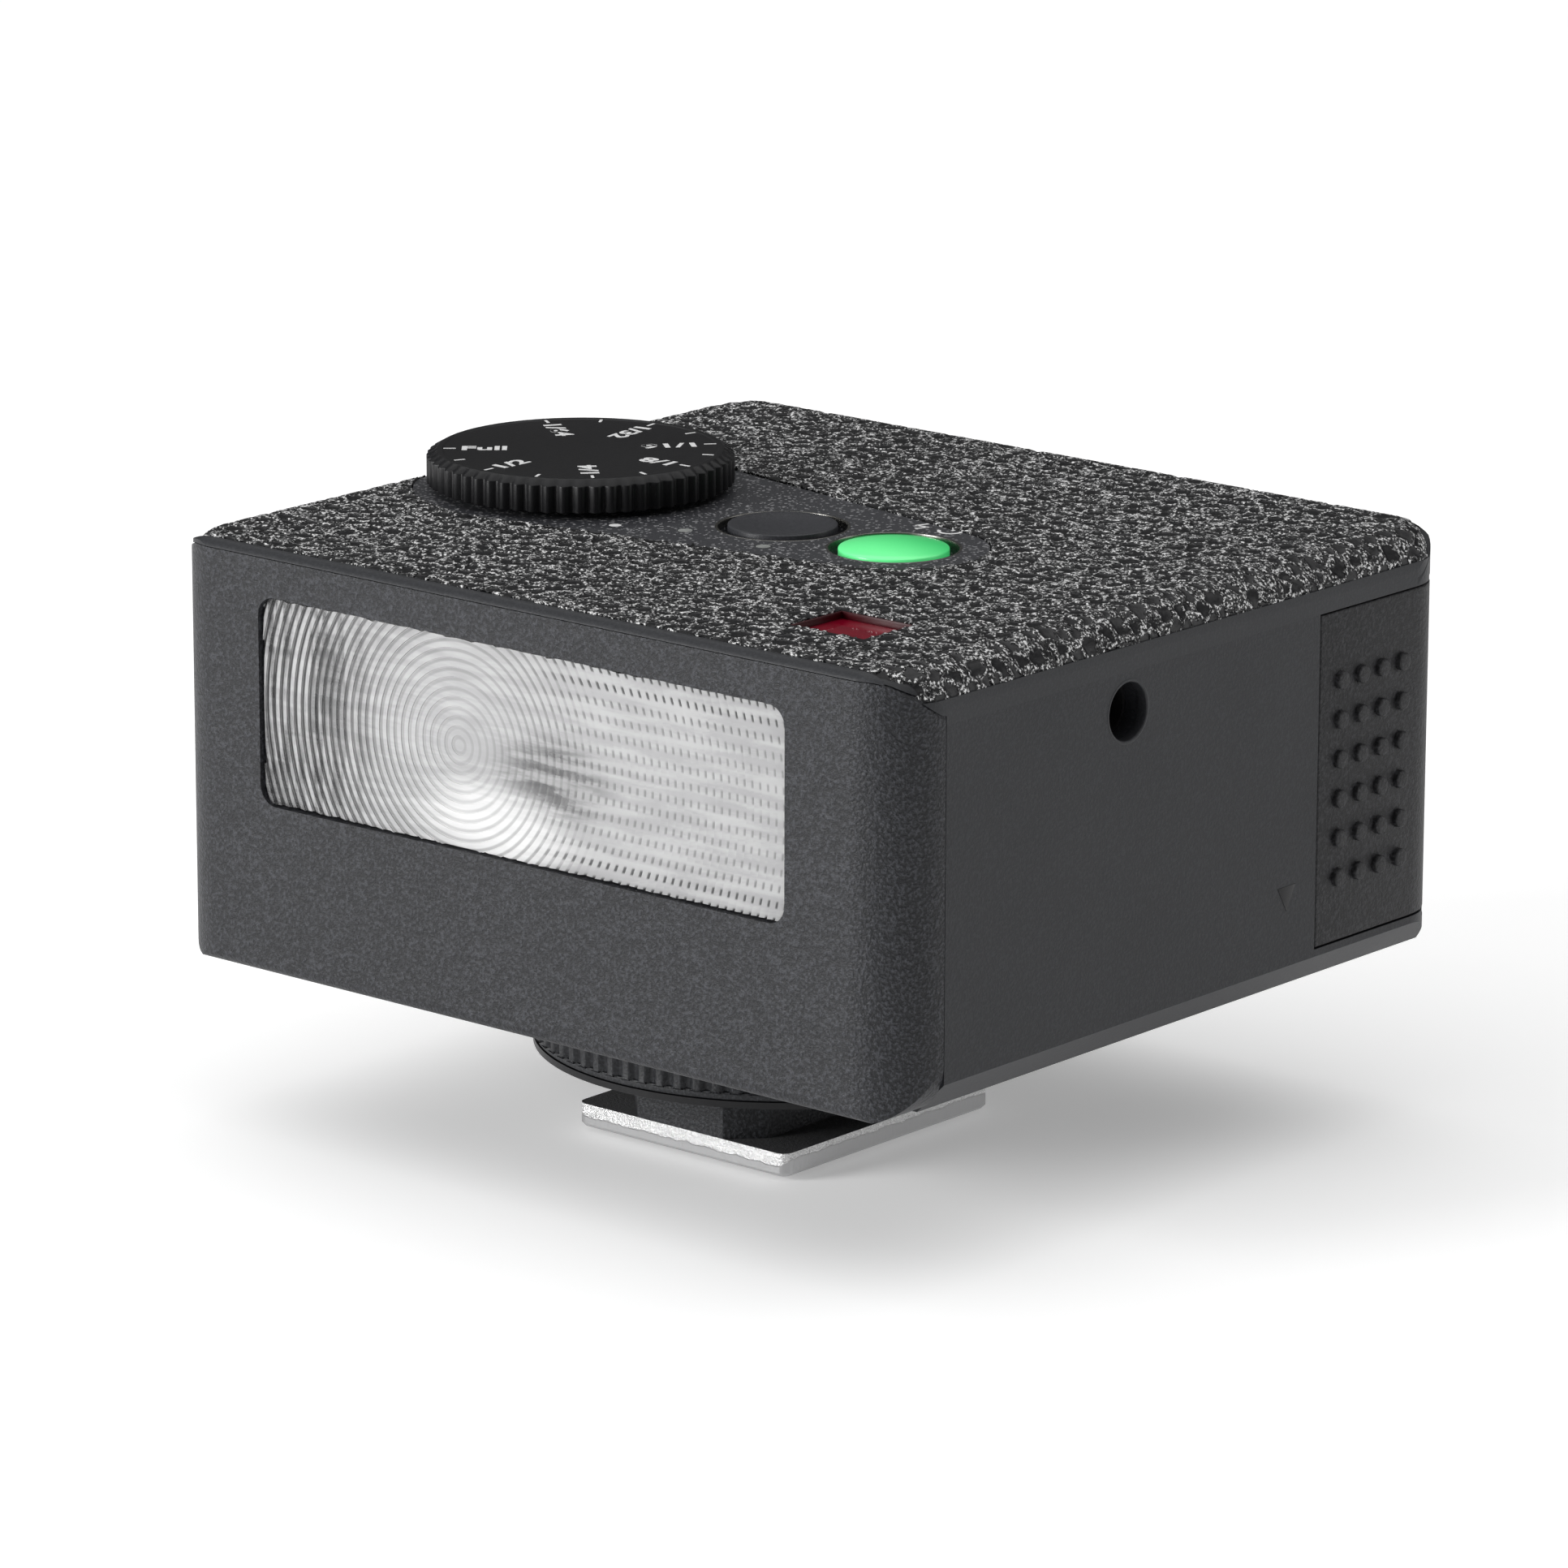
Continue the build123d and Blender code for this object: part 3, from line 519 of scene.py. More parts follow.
nodeFinishes = {
    "lower_housing": "housing", "front_bezel": "bezel", "top_cover": "cover", "leatherette_wrap": "leather",
    "control_plate": "plate", "bottom_pad": "pad", "fresnel_lens": "lens", "reflector": "mirror",
    "flash_tube": "tube", "tube_boots": "silicone", "tube_electrodes": "steel", "sensor_window": "red",
    "slave_sensor": "chipBlack", "power_dial": "dial", "dial_spindle": "steel", "rotary_switch": "switchGrey",
    "mode_button": "blackButton", "power_button": "green", "mode_plunger": "switchGrey",
    "power_plunger": "switchGrey", "tact_switches": "switchGrey", "indicator_lights": "lightPipe",
    "indicator_leds": "lightPipe", "control_board": "board", "board_pillars": "gold", "main_board": "board",
    "main_capacitor": "sleeve", "transformer_core": "ferrite", "transformer_winding": "copper",
    "trigger_coil": "coilCase", "power_transistor": "chipBlack", "sync_jack": "chipBlack",
    "jack_springs": "gold", "battery_cradle": "cradle", "battery_cells": "cell", "battery_contacts": "steel",
    "battery_spring": "steel", "battery_door": "door", "door_contact": "steel", "foot_stem": "stem",
    "clamp_washer": "washer", "lock_ring": "ring", "foot_plate": "foot", "contact_insulator": "chipBlack",
    "contact_pin": "gold", "contact_spring": "steel", "case_screws": "screw", "stem_screws": "screw",
    "foot_screws": "screw",
}


def dressNodes():
    for name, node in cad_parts.items():
        for seat in node.material_slots:
            seat.material = finishes[nodeFinishes[name]]


# Modelling helpers


def openMesh(piece, kind="FACE"):
    bpy.context.view_layer.objects.active = piece
    bpy.ops.object.mode_set(mode="EDIT")
    bpy.ops.mesh.select_mode(type=kind)


def closeMesh():
    bpy.ops.object.mode_set(mode="OBJECT")


def pickFaces(piece, test):
    openMesh(piece)
    bpy.ops.mesh.select_all(action="DESELECT")
    closeMesh()
    for face in piece.data.polygons:
        face.select = bool(test(face.center, face.normal))
    openMesh(piece)


def pickPoints(piece, test):
    openMesh(piece, "VERT")
    bpy.ops.mesh.select_all(action="DESELECT")
    closeMesh()
    for point in piece.data.vertices:
        point.select = bool(test(point.co))
    openMesh(piece, "VERT")


def settle(piece):  # the place goes into the mesh
    bpy.ops.object.select_all(action="DESELECT")
    piece.select_set(True)
    bpy.context.view_layer.objects.active = piece
    bpy.ops.object.transform_apply(location=True, rotation=True, scale=True)


def addDisc(name, centre, low, high, radius, sides):
    middle = (centre[0], centre[1], (low + high) / 2)
    bpy.ops.mesh.primitive_cylinder_add(vertices=sides, radius=radius, depth=high - low, location=middle)
    piece = bpy.context.object
    piece.name = name
    settle(piece)
    return piece


def modify(piece, kind, settings):
    bpy.context.view_layer.objects.active = piece
    made = piece.modifiers.new(kind.lower(), kind)
    for key, value in settings.items():
        setattr(made, key, value)
    bpy.ops.object.modifier_apply(modifier=made.name)


def soften(piece, width, segments=2, angle=30):
    settings = {"width": width * mm, "segments": segments, "limit_method": "ANGLE",
                "angle_limit": math.radians(angle), "harden_normals": False}
    modify(piece, "BEVEL", settings)


def addPoint(place):  # a mesh of one selected point, open for extruding
    bpy.ops.mesh.primitive_plane_add(size=1, location=place)
    piece = bpy.context.object
    settle(piece)
    openMesh(piece, "VERT")
    bpy.ops.mesh.select_all(action="SELECT")
    bpy.ops.mesh.merge(type="CENTER")
    return piece


def boreThrough(piece, test, wide):  # the two picked ends become the ends of a ring
    pickFaces(piece, test)
    bpy.ops.mesh.inset(thickness=wide)
    bpy.ops.mesh.delete(type="FACE")
    bpy.ops.mesh.select_mode(type="EDGE")
    bpy.ops.mesh.select_all(action="DESELECT")
    bpy.ops.mesh.select_non_manifold()
    bpy.ops.mesh.bridge_edge_loops()
    closeMesh()


def finishPiece(piece, body, finish, nodes=(), angle=35):
    bpy.ops.object.select_all(action="DESELECT")
    piece.select_set(True)
    bpy.context.view_layer.objects.active = piece
    bpy.ops.object.shade_smooth_by_angle(angle=math.radians(angle))
    piece.data.materials.clear()
    piece.data.materials.append(finishes[finish])
    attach(piece, body)
    if nodes:
        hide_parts(*nodes)
    bpy.ops.object.select_all(action="DESELECT")


# Leatherette: a fine sheet rolled over the top's side edges,
# its plates raised by the same pattern as its finish

wrapSet = {
    "columns": 352,
    "rows": 304,
    "sideRadius": 2.6 * mm,
    "cornerRadius": 4.4 * mm,
    # each roll of the top corners: radius, run past the front, run past the rear
    "cornerRolls": ((2.6 * mm, 1.5 * mm, 0.8 * mm), (1.17 * mm, 0.4 * mm, 0.4 * mm)),
    "lip": 0.75 * mm,  # from the case's front and rear faces
    "hem": 0.45 * mm,
    "plateRadius": 11.6 * mm,
    "plateEndRadius": 6.5 * mm,
    "sensorGap": 0.1 * mm,
    "paneFlange": 0.8 * mm,  # the pane's flange stands out under the cover
    "snap": 0.16 * mm,  # mesh points this near a hole's outline move onto it
    "snapPane": 0.75,
}


def rolledPoint(across, along, low, high):
    radius = wrapSet["sideRadius"]
    middle = (low.y + high.y) / 2
    halfDepth = (high.y - low.y) / 2
    y = middle + along * halfDepth
    fromEnd = halfDepth + wrapSet["lip"] - abs(y - middle)
    corner = wrapSet["cornerRadius"]
    inset = 0.0
    if fromEnd < corner:
        inset = corner - math.sqrt(max(0.0, corner**2 - (corner - fromEnd) ** 2))
    dropAngle = math.acos((low.z - (high.z - radius)) / radius)
    flat = high.x - radius - inset
    reach = flat + radius * dropAngle
    run = abs(across) * reach
    side = 1 if across > 0 else -1
    x, z = run, high.z
    if run > flat:
        angle = (run - flat) / radius
        x, z = flat + radius * math.sin(angle), high.z - radius * (1 - math.cos(angle))
    for roll, front, rear in wrapSet["cornerRolls"]:
        past = rear if y > middle else front
        deep = insideDepth(x, fromEnd + past, high.x)
        if deep < roll:
            z = min(z, high.z - roll + math.sqrt(max(0.0, roll**2 - (roll - deep) ** 2)))
    return Vector((side * x, y, max(z, low.z)))


def insideDepth(x, fromEnd, half):  # how far a point lies inside the rounded plan
    corner = wrapSet["cornerRadius"]
    fromSide = half - x
    if fromSide < corner and fromEnd < corner:
        return corner - math.hypot(corner - fromSide, corner - fromEnd)
    return min(fromSide, fromEnd)


def capsuleGap(x, y, dial, button):  # distance outside the control plate's outline
    large, small = wrapSet["plateRadius"], wrapSet["plateEndRadius"]
    run = button.x - dial.x
    lean = (large - small) / run
    rise = math.sqrt(1 - lean * lean)
    px, py = x - dial.x, abs(y - dial.y)
    along = px * rise - py * lean  # along the flank, whose normal is (lean, rise)
    out = px * lean + py * rise
    if along < 0:
        return math.hypot(px, py) - large, Vector((px, py)).normalized()
    if along > run * rise:
        return math.hypot(px - run, py) - small, Vector((px - run, py)).normalized()
    return out - large, Vector((lean, rise))


def buildLeatherette():
    low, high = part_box("leatherette_wrap")
    dial = sum(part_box("power_dial"), Vector()) / 2
    button = sum(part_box("power_button"), Vector()) / 2
    bpy.ops.mesh.primitive_grid_add(x_subdivisions=wrapSet["columns"], y_subdivisions=wrapSet["rows"], size=2)
    piece = bpy.context.object
    piece.name = "leatherette"
    for point in piece.data.vertices:
        point.co = rolledPoint(point.co.x, point.co.y, low, high)
    paneLow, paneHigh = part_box("sensor_window")
    shelf = wrapSet["paneFlange"] - wrapSet["sensorGap"]
    x0, x1 = paneLow.x + shelf, paneHigh.x - shelf
    y0, y1 = paneLow.y + shelf, paneHigh.y - shelf

    def inHoles(centre, normal):
        inPane = x0 < centre.x < x1 and y0 < centre.y < y1
        return inPane or capsuleGap(centre.x, centre.y, dial, button)[0] < 0

    pickFaces(piece, inHoles)
    bpy.ops.mesh.delete(type="FACE")
    closeMesh()
    step = wrapSet["snap"]
    near = step * wrapSet["snapPane"]
    for point in piece.data.vertices:
        gap, outward = capsuleGap(point.co.x, point.co.y, dial, button)
        if abs(gap) < step:
            outward.y *= 1 if point.co.y > dial.y else -1
            point.co.x -= outward.x * gap
            point.co.y -= outward.y * gap
        if y0 - step < point.co.y < y1 + step and x0 - step < point.co.x < x1 + step:
            for edge in (x0, x1):
                if abs(point.co.x - edge) < near:
                    point.co.x = edge
            for edge in (y0, y1):
                if abs(point.co.y - edge) < near:
                    point.co.y = edge
    raisePlates(piece)
    openMesh(piece, "EDGE")
    bpy.ops.mesh.select_all(action="DESELECT")
    bpy.ops.mesh.select_non_manifold()
    bpy.ops.mesh.extrude_region_move(TRANSFORM_OT_translate={"value": (0, 0, -wrapSet["hem"])})
    closeMesh()
    finishPiece(piece, "case", "leather", ["leatherette_wrap"], 60)
    print("leatherette:", len(piece.data.polygons), "faces")


def raisePlates(piece):
    group = bpy.data.node_groups.new("leatherPlates", "GeometryNodeTree")
    group.interface.new_socket("Geometry", in_out="INPUT", socket_type="NodeSocketGeometry")
    group.interface.new_socket("Geometry", in_out="OUTPUT", socket_type="NodeSocketGeometry")
    nodes, link = group.nodes, group.links.new

    def add(kind, settings=None, values=None):
        made = nodes.new(kind)
        for key, value in (settings or {}).items():
            setattr(made, key, value)
        for key, value in (values or {}).items():
            if hasattr(value, "is_output"):
                link(value, made.inputs[key])
            else:
                made.inputs[key].default_value = value
        return made

    place = add("GeometryNodeInputPosition")
    where = add("ShaderNodeVectorMath", {"operation": "SCALE"}, {0: place.outputs[0], "Scale": 1 / mm})
    drift = add("ShaderNodeTexNoise", None, {
        "Vector": where.outputs[0], "Scale": 1 / leatherSet["warpSize"], "Detail": 1.0})
    half = add("ShaderNodeVectorMath", {"operation": "SUBTRACT"}, {
        0: drift.outputs[1], 1: (0.5, 0.5, 0.5)})
    push = add("ShaderNodeVectorMath", {"operation": "SCALE"}, {
        0: half.outputs[0], "Scale": 2 * leatherSet["warp"]})
    warped = add("ShaderNodeVectorMath", {"operation": "ADD"}, {
        0: where.outputs[0], 1: push.outputs[0]})
    edge = add("ShaderNodeTexVoronoi", {"feature": "DISTANCE_TO_EDGE"}, {
        "Vector": warped.outputs[0], "Scale": 1 / leatherSet["plate"]})
    height = add("ShaderNodeMapRange", {"interpolation_type": "SMOOTHSTEP"}, {
        "Value": edge.outputs[0], "From Min": leatherSet["ridge"][0], "From Max": leatherSet["ridge"][1],
        "To Min": 0.0, "To Max": -leatherSet["relief"] * mm})
    normal = add("GeometryNodeInputNormal")
    offset = add("ShaderNodeVectorMath", {"operation": "SCALE"}, {
        0: normal.outputs[0], "Scale": height.outputs[0]})
    enter, leave = add("NodeGroupInput"), add("NodeGroupOutput")
    lift = add("GeometryNodeSetPosition", None, {"Geometry": enter.outputs[0], "Offset": offset.outputs[0]})
    link(lift.outputs[0], leave.inputs[0])
    modify(piece, "NODES", {"node_group": group})


# Power dial and its prints

dialSet = {
    "flutes": 60,
    "steps": 6,  # mesh columns in one flute
    "valley": 0.30 * mm,
    "shoulder": 0.10 * mm,
    "topRadius": 9.83 * mm,
    "bevel": 0.41 * mm,
    "dish": 0.10 * mm,
    "dishInset": 0.35 * mm,
    "soften": 0.05,
    "gap": 0.5 * mm,  # between the plate and the dial's skirt
    "collarRadius": 3.6 * mm,
    "collarDeep": 3 * mm,
    "collarLap": 0.1 * mm,
    "collarSides": 64,
}


def buildDial():
    low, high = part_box("power_dial")
    centre = (low + high) / 2
    radius = (high.x - low.x) / 2
    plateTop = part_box("control_plate")[1].z
    bottom = plateTop + dialSet["gap"]
    sides = dialSet["flutes"] * dialSet["steps"]
    piece = addDisc("dial", centre, bottom, high.z - dialSet["bevel"], radius, sides)
    rim = math.radians(360 / sides)

    def column(point):
        angle = math.atan2(point.y - centre.y, point.x - centre.x)
        return round(angle / rim) % dialSet["steps"]

    for columns, depth in (((2, 3), dialSet["valley"]), ((1, 4), dialSet["shoulder"])):
        pickPoints(piece, lambda point: column(point) in columns)
        shrink = 1 - depth / radius
        bpy.ops.transform.resize(value=(shrink, shrink, 1), center_override=centre)
        closeMesh()
    pickFaces(piece, lambda place, normal: normal.z > 0.9)
    bpy.ops.mesh.extrude_region_move(TRANSFORM_OT_translate={"value": (0, 0, dialSet["bevel"])})
    closeMesh()
    top = high.z - 0.01 * mm
    pickPoints(piece, lambda point: point.z > top)
    bpy.ops.transform.resize(value=(dialSet["topRadius"] / radius,) * 2 + (1,), center_override=centre)
    closeMesh()
    for point in piece.data.vertices:  # the top edge is a true circle
        if point.co.z > top:
            arm = Vector((point.co.x - centre.x, point.co.y - centre.y)).normalized() * dialSet["topRadius"]
            point.co.x, point.co.y = centre.x + arm.x, centre.y + arm.y
    pickFaces(piece, lambda place, normal: normal.z > 0.99)
    bpy.ops.mesh.inset(thickness=dialSet["dishInset"])
    bpy.ops.mesh.inset(thickness=dialSet["dish"])
    bpy.ops.transform.translate(value=(0, 0, -dialSet["dish"] / 2))
    closeMesh()
    soften(piece, dialSet["soften"], 2, 25)
    finishPiece(piece, "dial", "dial", ["power_dial"], 28)
    collar = addDisc(
        "dial_collar", centre, plateTop - dialSet["collarDeep"], bottom + dialSet["collarLap"],
        dialSet["collarRadius"], dialSet["collarSides"])
    soften(collar, 0.1)
    finishPiece(collar, "dial", "dial")
    printDial(centre, high.z - dialSet["dish"] / 2)
    print("dial:", len(piece.data.polygons), "faces")


dialMarks = {
    "labels": [
        (-139, "Full"), (-92, "1/2"), (-43, "1/4"), (4, "1/8"), (50, "1/16"), (99, "1/32"), (147, "1/64")],
    "plain": [-115, -67, -20, 28, 74, 123],
    "tickFrom": 8.55 * mm,
    "tickLong": 0.95 * mm,
    "tickShort": 0.8 * mm,
    "tickWide": 0.20 * mm,
    "textSize": 1.72 * mm,
    "textBold": 0.05 * mm,
    "textStretch": 1.36,
    "textInset": 8.15 * mm,
    "thick": 0.03 * mm,
}


def joinPieces(parts, name):
    bpy.ops.object.select_all(action="DESELECT")
    for part in parts:
        part.select_set(True)
    bpy.context.view_layer.objects.active = parts[0]
    if len(parts) > 1:
        bpy.ops.object.join()
    parts[0].name = name
    bpy.ops.object.select_all(action="DESELECT")
    return parts[0]


def flatBar(place, length, width, thick, turn):
    bpy.ops.mesh.primitive_cube_add(size=1, location=place, rotation=(0, 0, turn))
    bar = bpy.context.object
    bar.scale = (length, width, thick)
    settle(bar)
    return bar


def wordMesh(text):
    bpy.ops.object.text_add()
    word = bpy.context.object
    word.data.body = text
    word.data.size = dialMarks["textSize"]
    word.data.extrude = dialMarks["thick"] / 2
    word.data.offset = dialMarks["textBold"]
    word.data.align_y = "CENTER"
    word.data.align_x = "CENTER"
    word.scale = (dialMarks["textStretch"], 1, 1)
    bpy.ops.object.convert(target="MESH")
    return bpy.context.object


def printDial(centre, level):
    parts = []
    angles = [(angle, "tickLong") for angle, text in dialMarks["labels"]]
    angles += [(angle, "tickShort") for angle in dialMarks["plain"]]
    for degrees, kind in angles:
        angle = math.radians(degrees)
        reach = dialMarks["tickFrom"] + dialMarks[kind] / 2
        place = (centre.x + reach * math.cos(angle), centre.y + reach * math.sin(angle), level)
        parts.append(flatBar(place, dialMarks[kind], dialMarks["tickWide"], dialMarks["thick"], angle))
    for degrees, text in dialMarks["labels"]:
        angle = math.radians(degrees)
        word = wordMesh(text)
        width = word.dimensions.x
        reach = dialMarks["textInset"] - width / 2
        word.location = (centre.x + reach * math.cos(angle), centre.y + reach * math.sin(angle), level)
        word.rotation_euler = (0, 0, angle + math.pi)
        settle(word)
        parts.append(word)
    piece = joinPieces(parts, "dial_marks")
    finishPiece(piece, "dial", "print")


# Buttons, their wells and the plate's marks

buttonSet = {
    "sides": 96,
    "capRadius": 3.72 * mm,
    "wellRadius": 4.42 * mm,
    "domeSink": 0.22 * mm,
    "rimWide": 0.16 * mm,
    "rimDeep": 0.5 * mm,
    "rimProud": 0.015 * mm,
    "flangeHigh": 0.6 * mm,
    "flangeWide": 0.55 * mm,
    "bowl": 0.25 * mm,  # how far the mode cap is hollow
    "bowlEdge": 0.35 * mm,
    "dome": 0.45 * mm,
    "steps": 7,
}


def buildCap(name, node, body, finish, bowl):
    low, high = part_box(node)
    centre = (low + high) / 2
    flange, wide = buttonSet["flangeHigh"], buttonSet["flangeWide"]
    piece = addDisc(name, centre, low.z, low.z + flange, buttonSet["capRadius"] + wide, buttonSet["sides"])
    pickFaces(piece, lambda place, normal: normal.z > 0.9)
    bpy.ops.mesh.inset(thickness=wide)
    rise = high.z - low.z - flange - max(0, -bowl) - (buttonSet["domeSink"] if bowl < 0 else 0)
    bpy.ops.mesh.extrude_region_move(TRANSFORM_OT_translate={"value": (0, 0, rise)})
    steps = buttonSet["steps"]
    radius = buttonSet["capRadius"]
    edge = buttonSet["bowlEdge"] if bowl > 0 else 0.0
    if edge:
        bpy.ops.mesh.inset(thickness=edge)
        radius -= edge
    for step in range(steps):  # rings that sink or rise towards the middle
        outer, inner = 1 - step / steps, 1 - (step + 1) / steps
        bpy.ops.mesh.inset(thickness=radius / steps * 0.98)
        change = abs(bowl) * (outer**2 - inner**2)
        bpy.ops.transform.translate(value=(0, 0, -change if bowl > 0 else change))
    closeMesh()
    soften(piece, 0.09, 3, 40)
    finishPiece(piece, body, finish, [node], 40)


def buildWellRim(name, node):
    low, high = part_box(node)
    centre = (low + high) / 2
    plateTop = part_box("control_plate")[1].z
    outer = buttonSet["wellRadius"] + buttonSet["rimWide"]
    bottom, top = plateTop - buttonSet["rimDeep"], plateTop + buttonSet["rimProud"]
    piece = addDisc(name, centre, bottom, top, outer, buttonSet["sides"])
    boreThrough(piece, lambda place, normal: abs(normal.z) > 0.9, buttonSet["rimWide"] * 1.35)
    soften(piece, 0.06, 2, 40)
    finishPiece(piece, "case", "wellRim")


def buildButtons():
    buildCap("mode_cap", "mode_button", "mode_key", "blackButton", buttonSet["bowl"])
    buildCap("power_cap", "power_button", "power_key", "green", -buttonSet["dome"])
    buildWellRim("mode_well_rim", "mode_button")
    buildWellRim("power_well_rim", "power_button")
    printPlate()
    buildSensorRecess()
    print("buttons done")


# The plate's prints, from the middle of the power button or the dial
plateMarks = {
    "dotFrom": (9.55 * mm, -7.2 * mm),
    "dotRadius": 0.42 * mm,
    "symbolAt": (-2.6 * mm, 6.1 * mm),
    "symbolGap": 2.35 * mm,
    "ringRadius": 0.78 * mm,
    "line": 0.24 * mm,
    "thick": 0.02 * mm,
    "proud": 0.002 * mm,
    "turn": 0.12,
    "boltTilt": 62,
    "boltShift": (0.30 * mm, -0.36 * mm),
    "boltLong": 1.05 * mm,
    "boltJoint": 0.85 * mm,
    "ringSweep": 290,
    "ringFrom": 145,
    "recessBelow": 0.12 * mm,
    "recessFlange": 0.72 * mm,
    "recessWide": 0.16 * mm,
}


def buildSensorRecess():  # a red lining round the window's opening
    low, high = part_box("sensor_window")
    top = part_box("leatherette_wrap")[1].z - plateMarks["recessBelow"]
    flange, wide = plateMarks["recessFlange"], plateMarks["recessWide"]
    x0, x1, y0, y1 = low.x + flange, high.x - flange, low.y + flange, high.y - flange
    middle, tall = (top + high.z) / 2, top - high.z
    parts = []
    for x in (x0 + wide / 2, x1 - wide / 2):
        parts.append(flatBar((x, (y0 + y1) / 2, middle), wide, y1 - y0, tall, 0))
    for y in (y0 + wide / 2, y1 - wide / 2):
        parts.append(flatBar(((x0 + x1) / 2, y, middle), x1 - x0 - 2 * wide, wide, tall, 0))
    piece = joinPieces(parts, "sensor_recess")
    soften(piece, 0.03, 2, 40)
    finishPiece(piece, "case", "recess")


def printPlate():
    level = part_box("control_plate")[1].z + plateMarks["proud"]
    dial = sum(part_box("power_dial"), Vector()) / 2
    button = sum(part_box("power_button"), Vector()) / 2
    thick = plateMarks["thick"]
    spot = Vector((dial.x + plateMarks["dotFrom"][0], dial.y + plateMarks["dotFrom"][1]))
    parts = [addDisc("dot", spot, level - thick, level, plateMarks["dotRadius"], 40)]
    line, turn = plateMarks["line"], plateMarks["turn"]
    bolt = Vector((button.x + plateMarks["symbolAt"][0], button.y + plateMarks["symbolAt"][1]))
    tilt = math.radians(plateMarks["boltTilt"])
    across, along = plateMarks["boltShift"]
    for side in (-1, 1):  # a lightning bolt: two strokes and a joint
        place = (bolt.x + side * across, bolt.y + side * along, level - thick / 2)
        parts.append(flatBar(place, plateMarks["boltLong"], line, thick, tilt + turn))
    parts.append(flatBar((bolt.x, bolt.y, level - thick / 2), plateMarks["boltJoint"], line, thick, turn))
    power = Vector((bolt.x + plateMarks["symbolGap"], bolt.y + plateMarks["symbolGap"] * 0.05))
    radius = plateMarks["ringRadius"]
    bpy.ops.mesh.primitive_cube_add(size=1, location=(power.x, power.y - radius, level - thick / 2))
    arc = bpy.context.object
    arc.scale = (thick, line, thick)
    settle(arc)
    pickFaces(arc, lambda place, normal: normal.x > 0.9)
    middle = (power.x, power.y, level)
    bpy.ops.mesh.spin(steps=36, angle=math.radians(plateMarks["ringSweep"]), center=middle, axis=(0, 0, 1))
    bpy.ops.mesh.select_all(action="SELECT")
    bpy.ops.transform.rotate(
        value=math.radians(plateMarks["ringFrom"]), orient_axis="Z", center_override=middle)
    bpy.ops.mesh.remove_doubles(threshold=0.003 * mm)
    bpy.ops.mesh.normals_make_consistent(inside=False)
    closeMesh()
    parts.append(arc)
    stem = (power.x, power.y + radius * 0.75, level - thick / 2)
    parts.append(flatBar(stem, radius * 1.1, line, thick, math.pi / 2))
    piece = joinPieces(parts, "plate_marks")
    finishPiece(piece, "case", "print")


# Lock ring

ringSet = {
    "ribs": 80,
    "columns": 5,
    "grooveDeep": 0.34 * mm,
    "rimHigh": 0.5 * mm,
    "rimBack": 0.22 * mm,
    "rimLap": 0.02 * mm,
    "rimSides": 160,
    "bore": 11.8 * mm,
    "wall": 1.6 * mm,
    "soften": 0.11,
}


def buildRing():
    low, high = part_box("lock_ring")
    radius = (high.x - low.x) / 2
    sides = ringSet["ribs"] * ringSet["columns"]
    centre = Vector((0, 0, (low.z + high.z) / 2))
    piece = addDisc("lockRing", centre, low.z + ringSet["rimHigh"], high.z, radius, sides)
    turn = math.radians(360 / sides)
    pickPoints(piece, lambda point: round(math.atan2(point.y, point.x) / turn) % ringSet["columns"] in (0, 1))
    shrink = 1 - ringSet["grooveDeep"] / radius
    bpy.ops.transform.resize(value=(shrink, shrink, 1), center_override=centre)
    closeMesh()
    pickFaces(piece, lambda place, normal: abs(normal.z) > 0.9)
    bpy.ops.mesh.delete(type="ONLY_FACE")
    closeMesh()
    rimRadius = radius - ringSet["rimBack"]
    rimTop = low.z + ringSet["rimHigh"] + ringSet["rimLap"]
    rim = addDisc("lockRingRim", centre, low.z, rimTop, rimRadius, ringSet["rimSides"])
    boreThrough(rim, lambda place, normal: abs(normal.z) > 0.9, rimRadius - ringSet["bore"])
    soften(rim, 0.08, 2)
    modify(piece, "SOLIDIFY", {"thickness": ringSet["wall"], "offset": -1.0})
    soften(piece, ringSet["soften"], 2, 30)
    whole = joinPieces([piece, rim], "lock_ring_ribs")
    finishPiece(whole, "ring", "ring", ["lock_ring"], 35)
    print("lock ring:", len(whole.data.polygons), "faces")


def trimToWindow(piece, x0, x1, z0, z1):
    cuts = [
        ((x0, 0, 0), (-1, 0, 0)), ((x1, 0, 0), (1, 0, 0)),
        ((0, 0, z0), (0, 0, -1)), ((0, 0, z1), (0, 0, 1))]
    for place, normal in cuts:
        openMesh(piece)
        bpy.ops.mesh.select_all(action="SELECT")
        bpy.ops.mesh.bisect(plane_co=place, plane_no=normal, clear_outer=True)
        closeMesh()


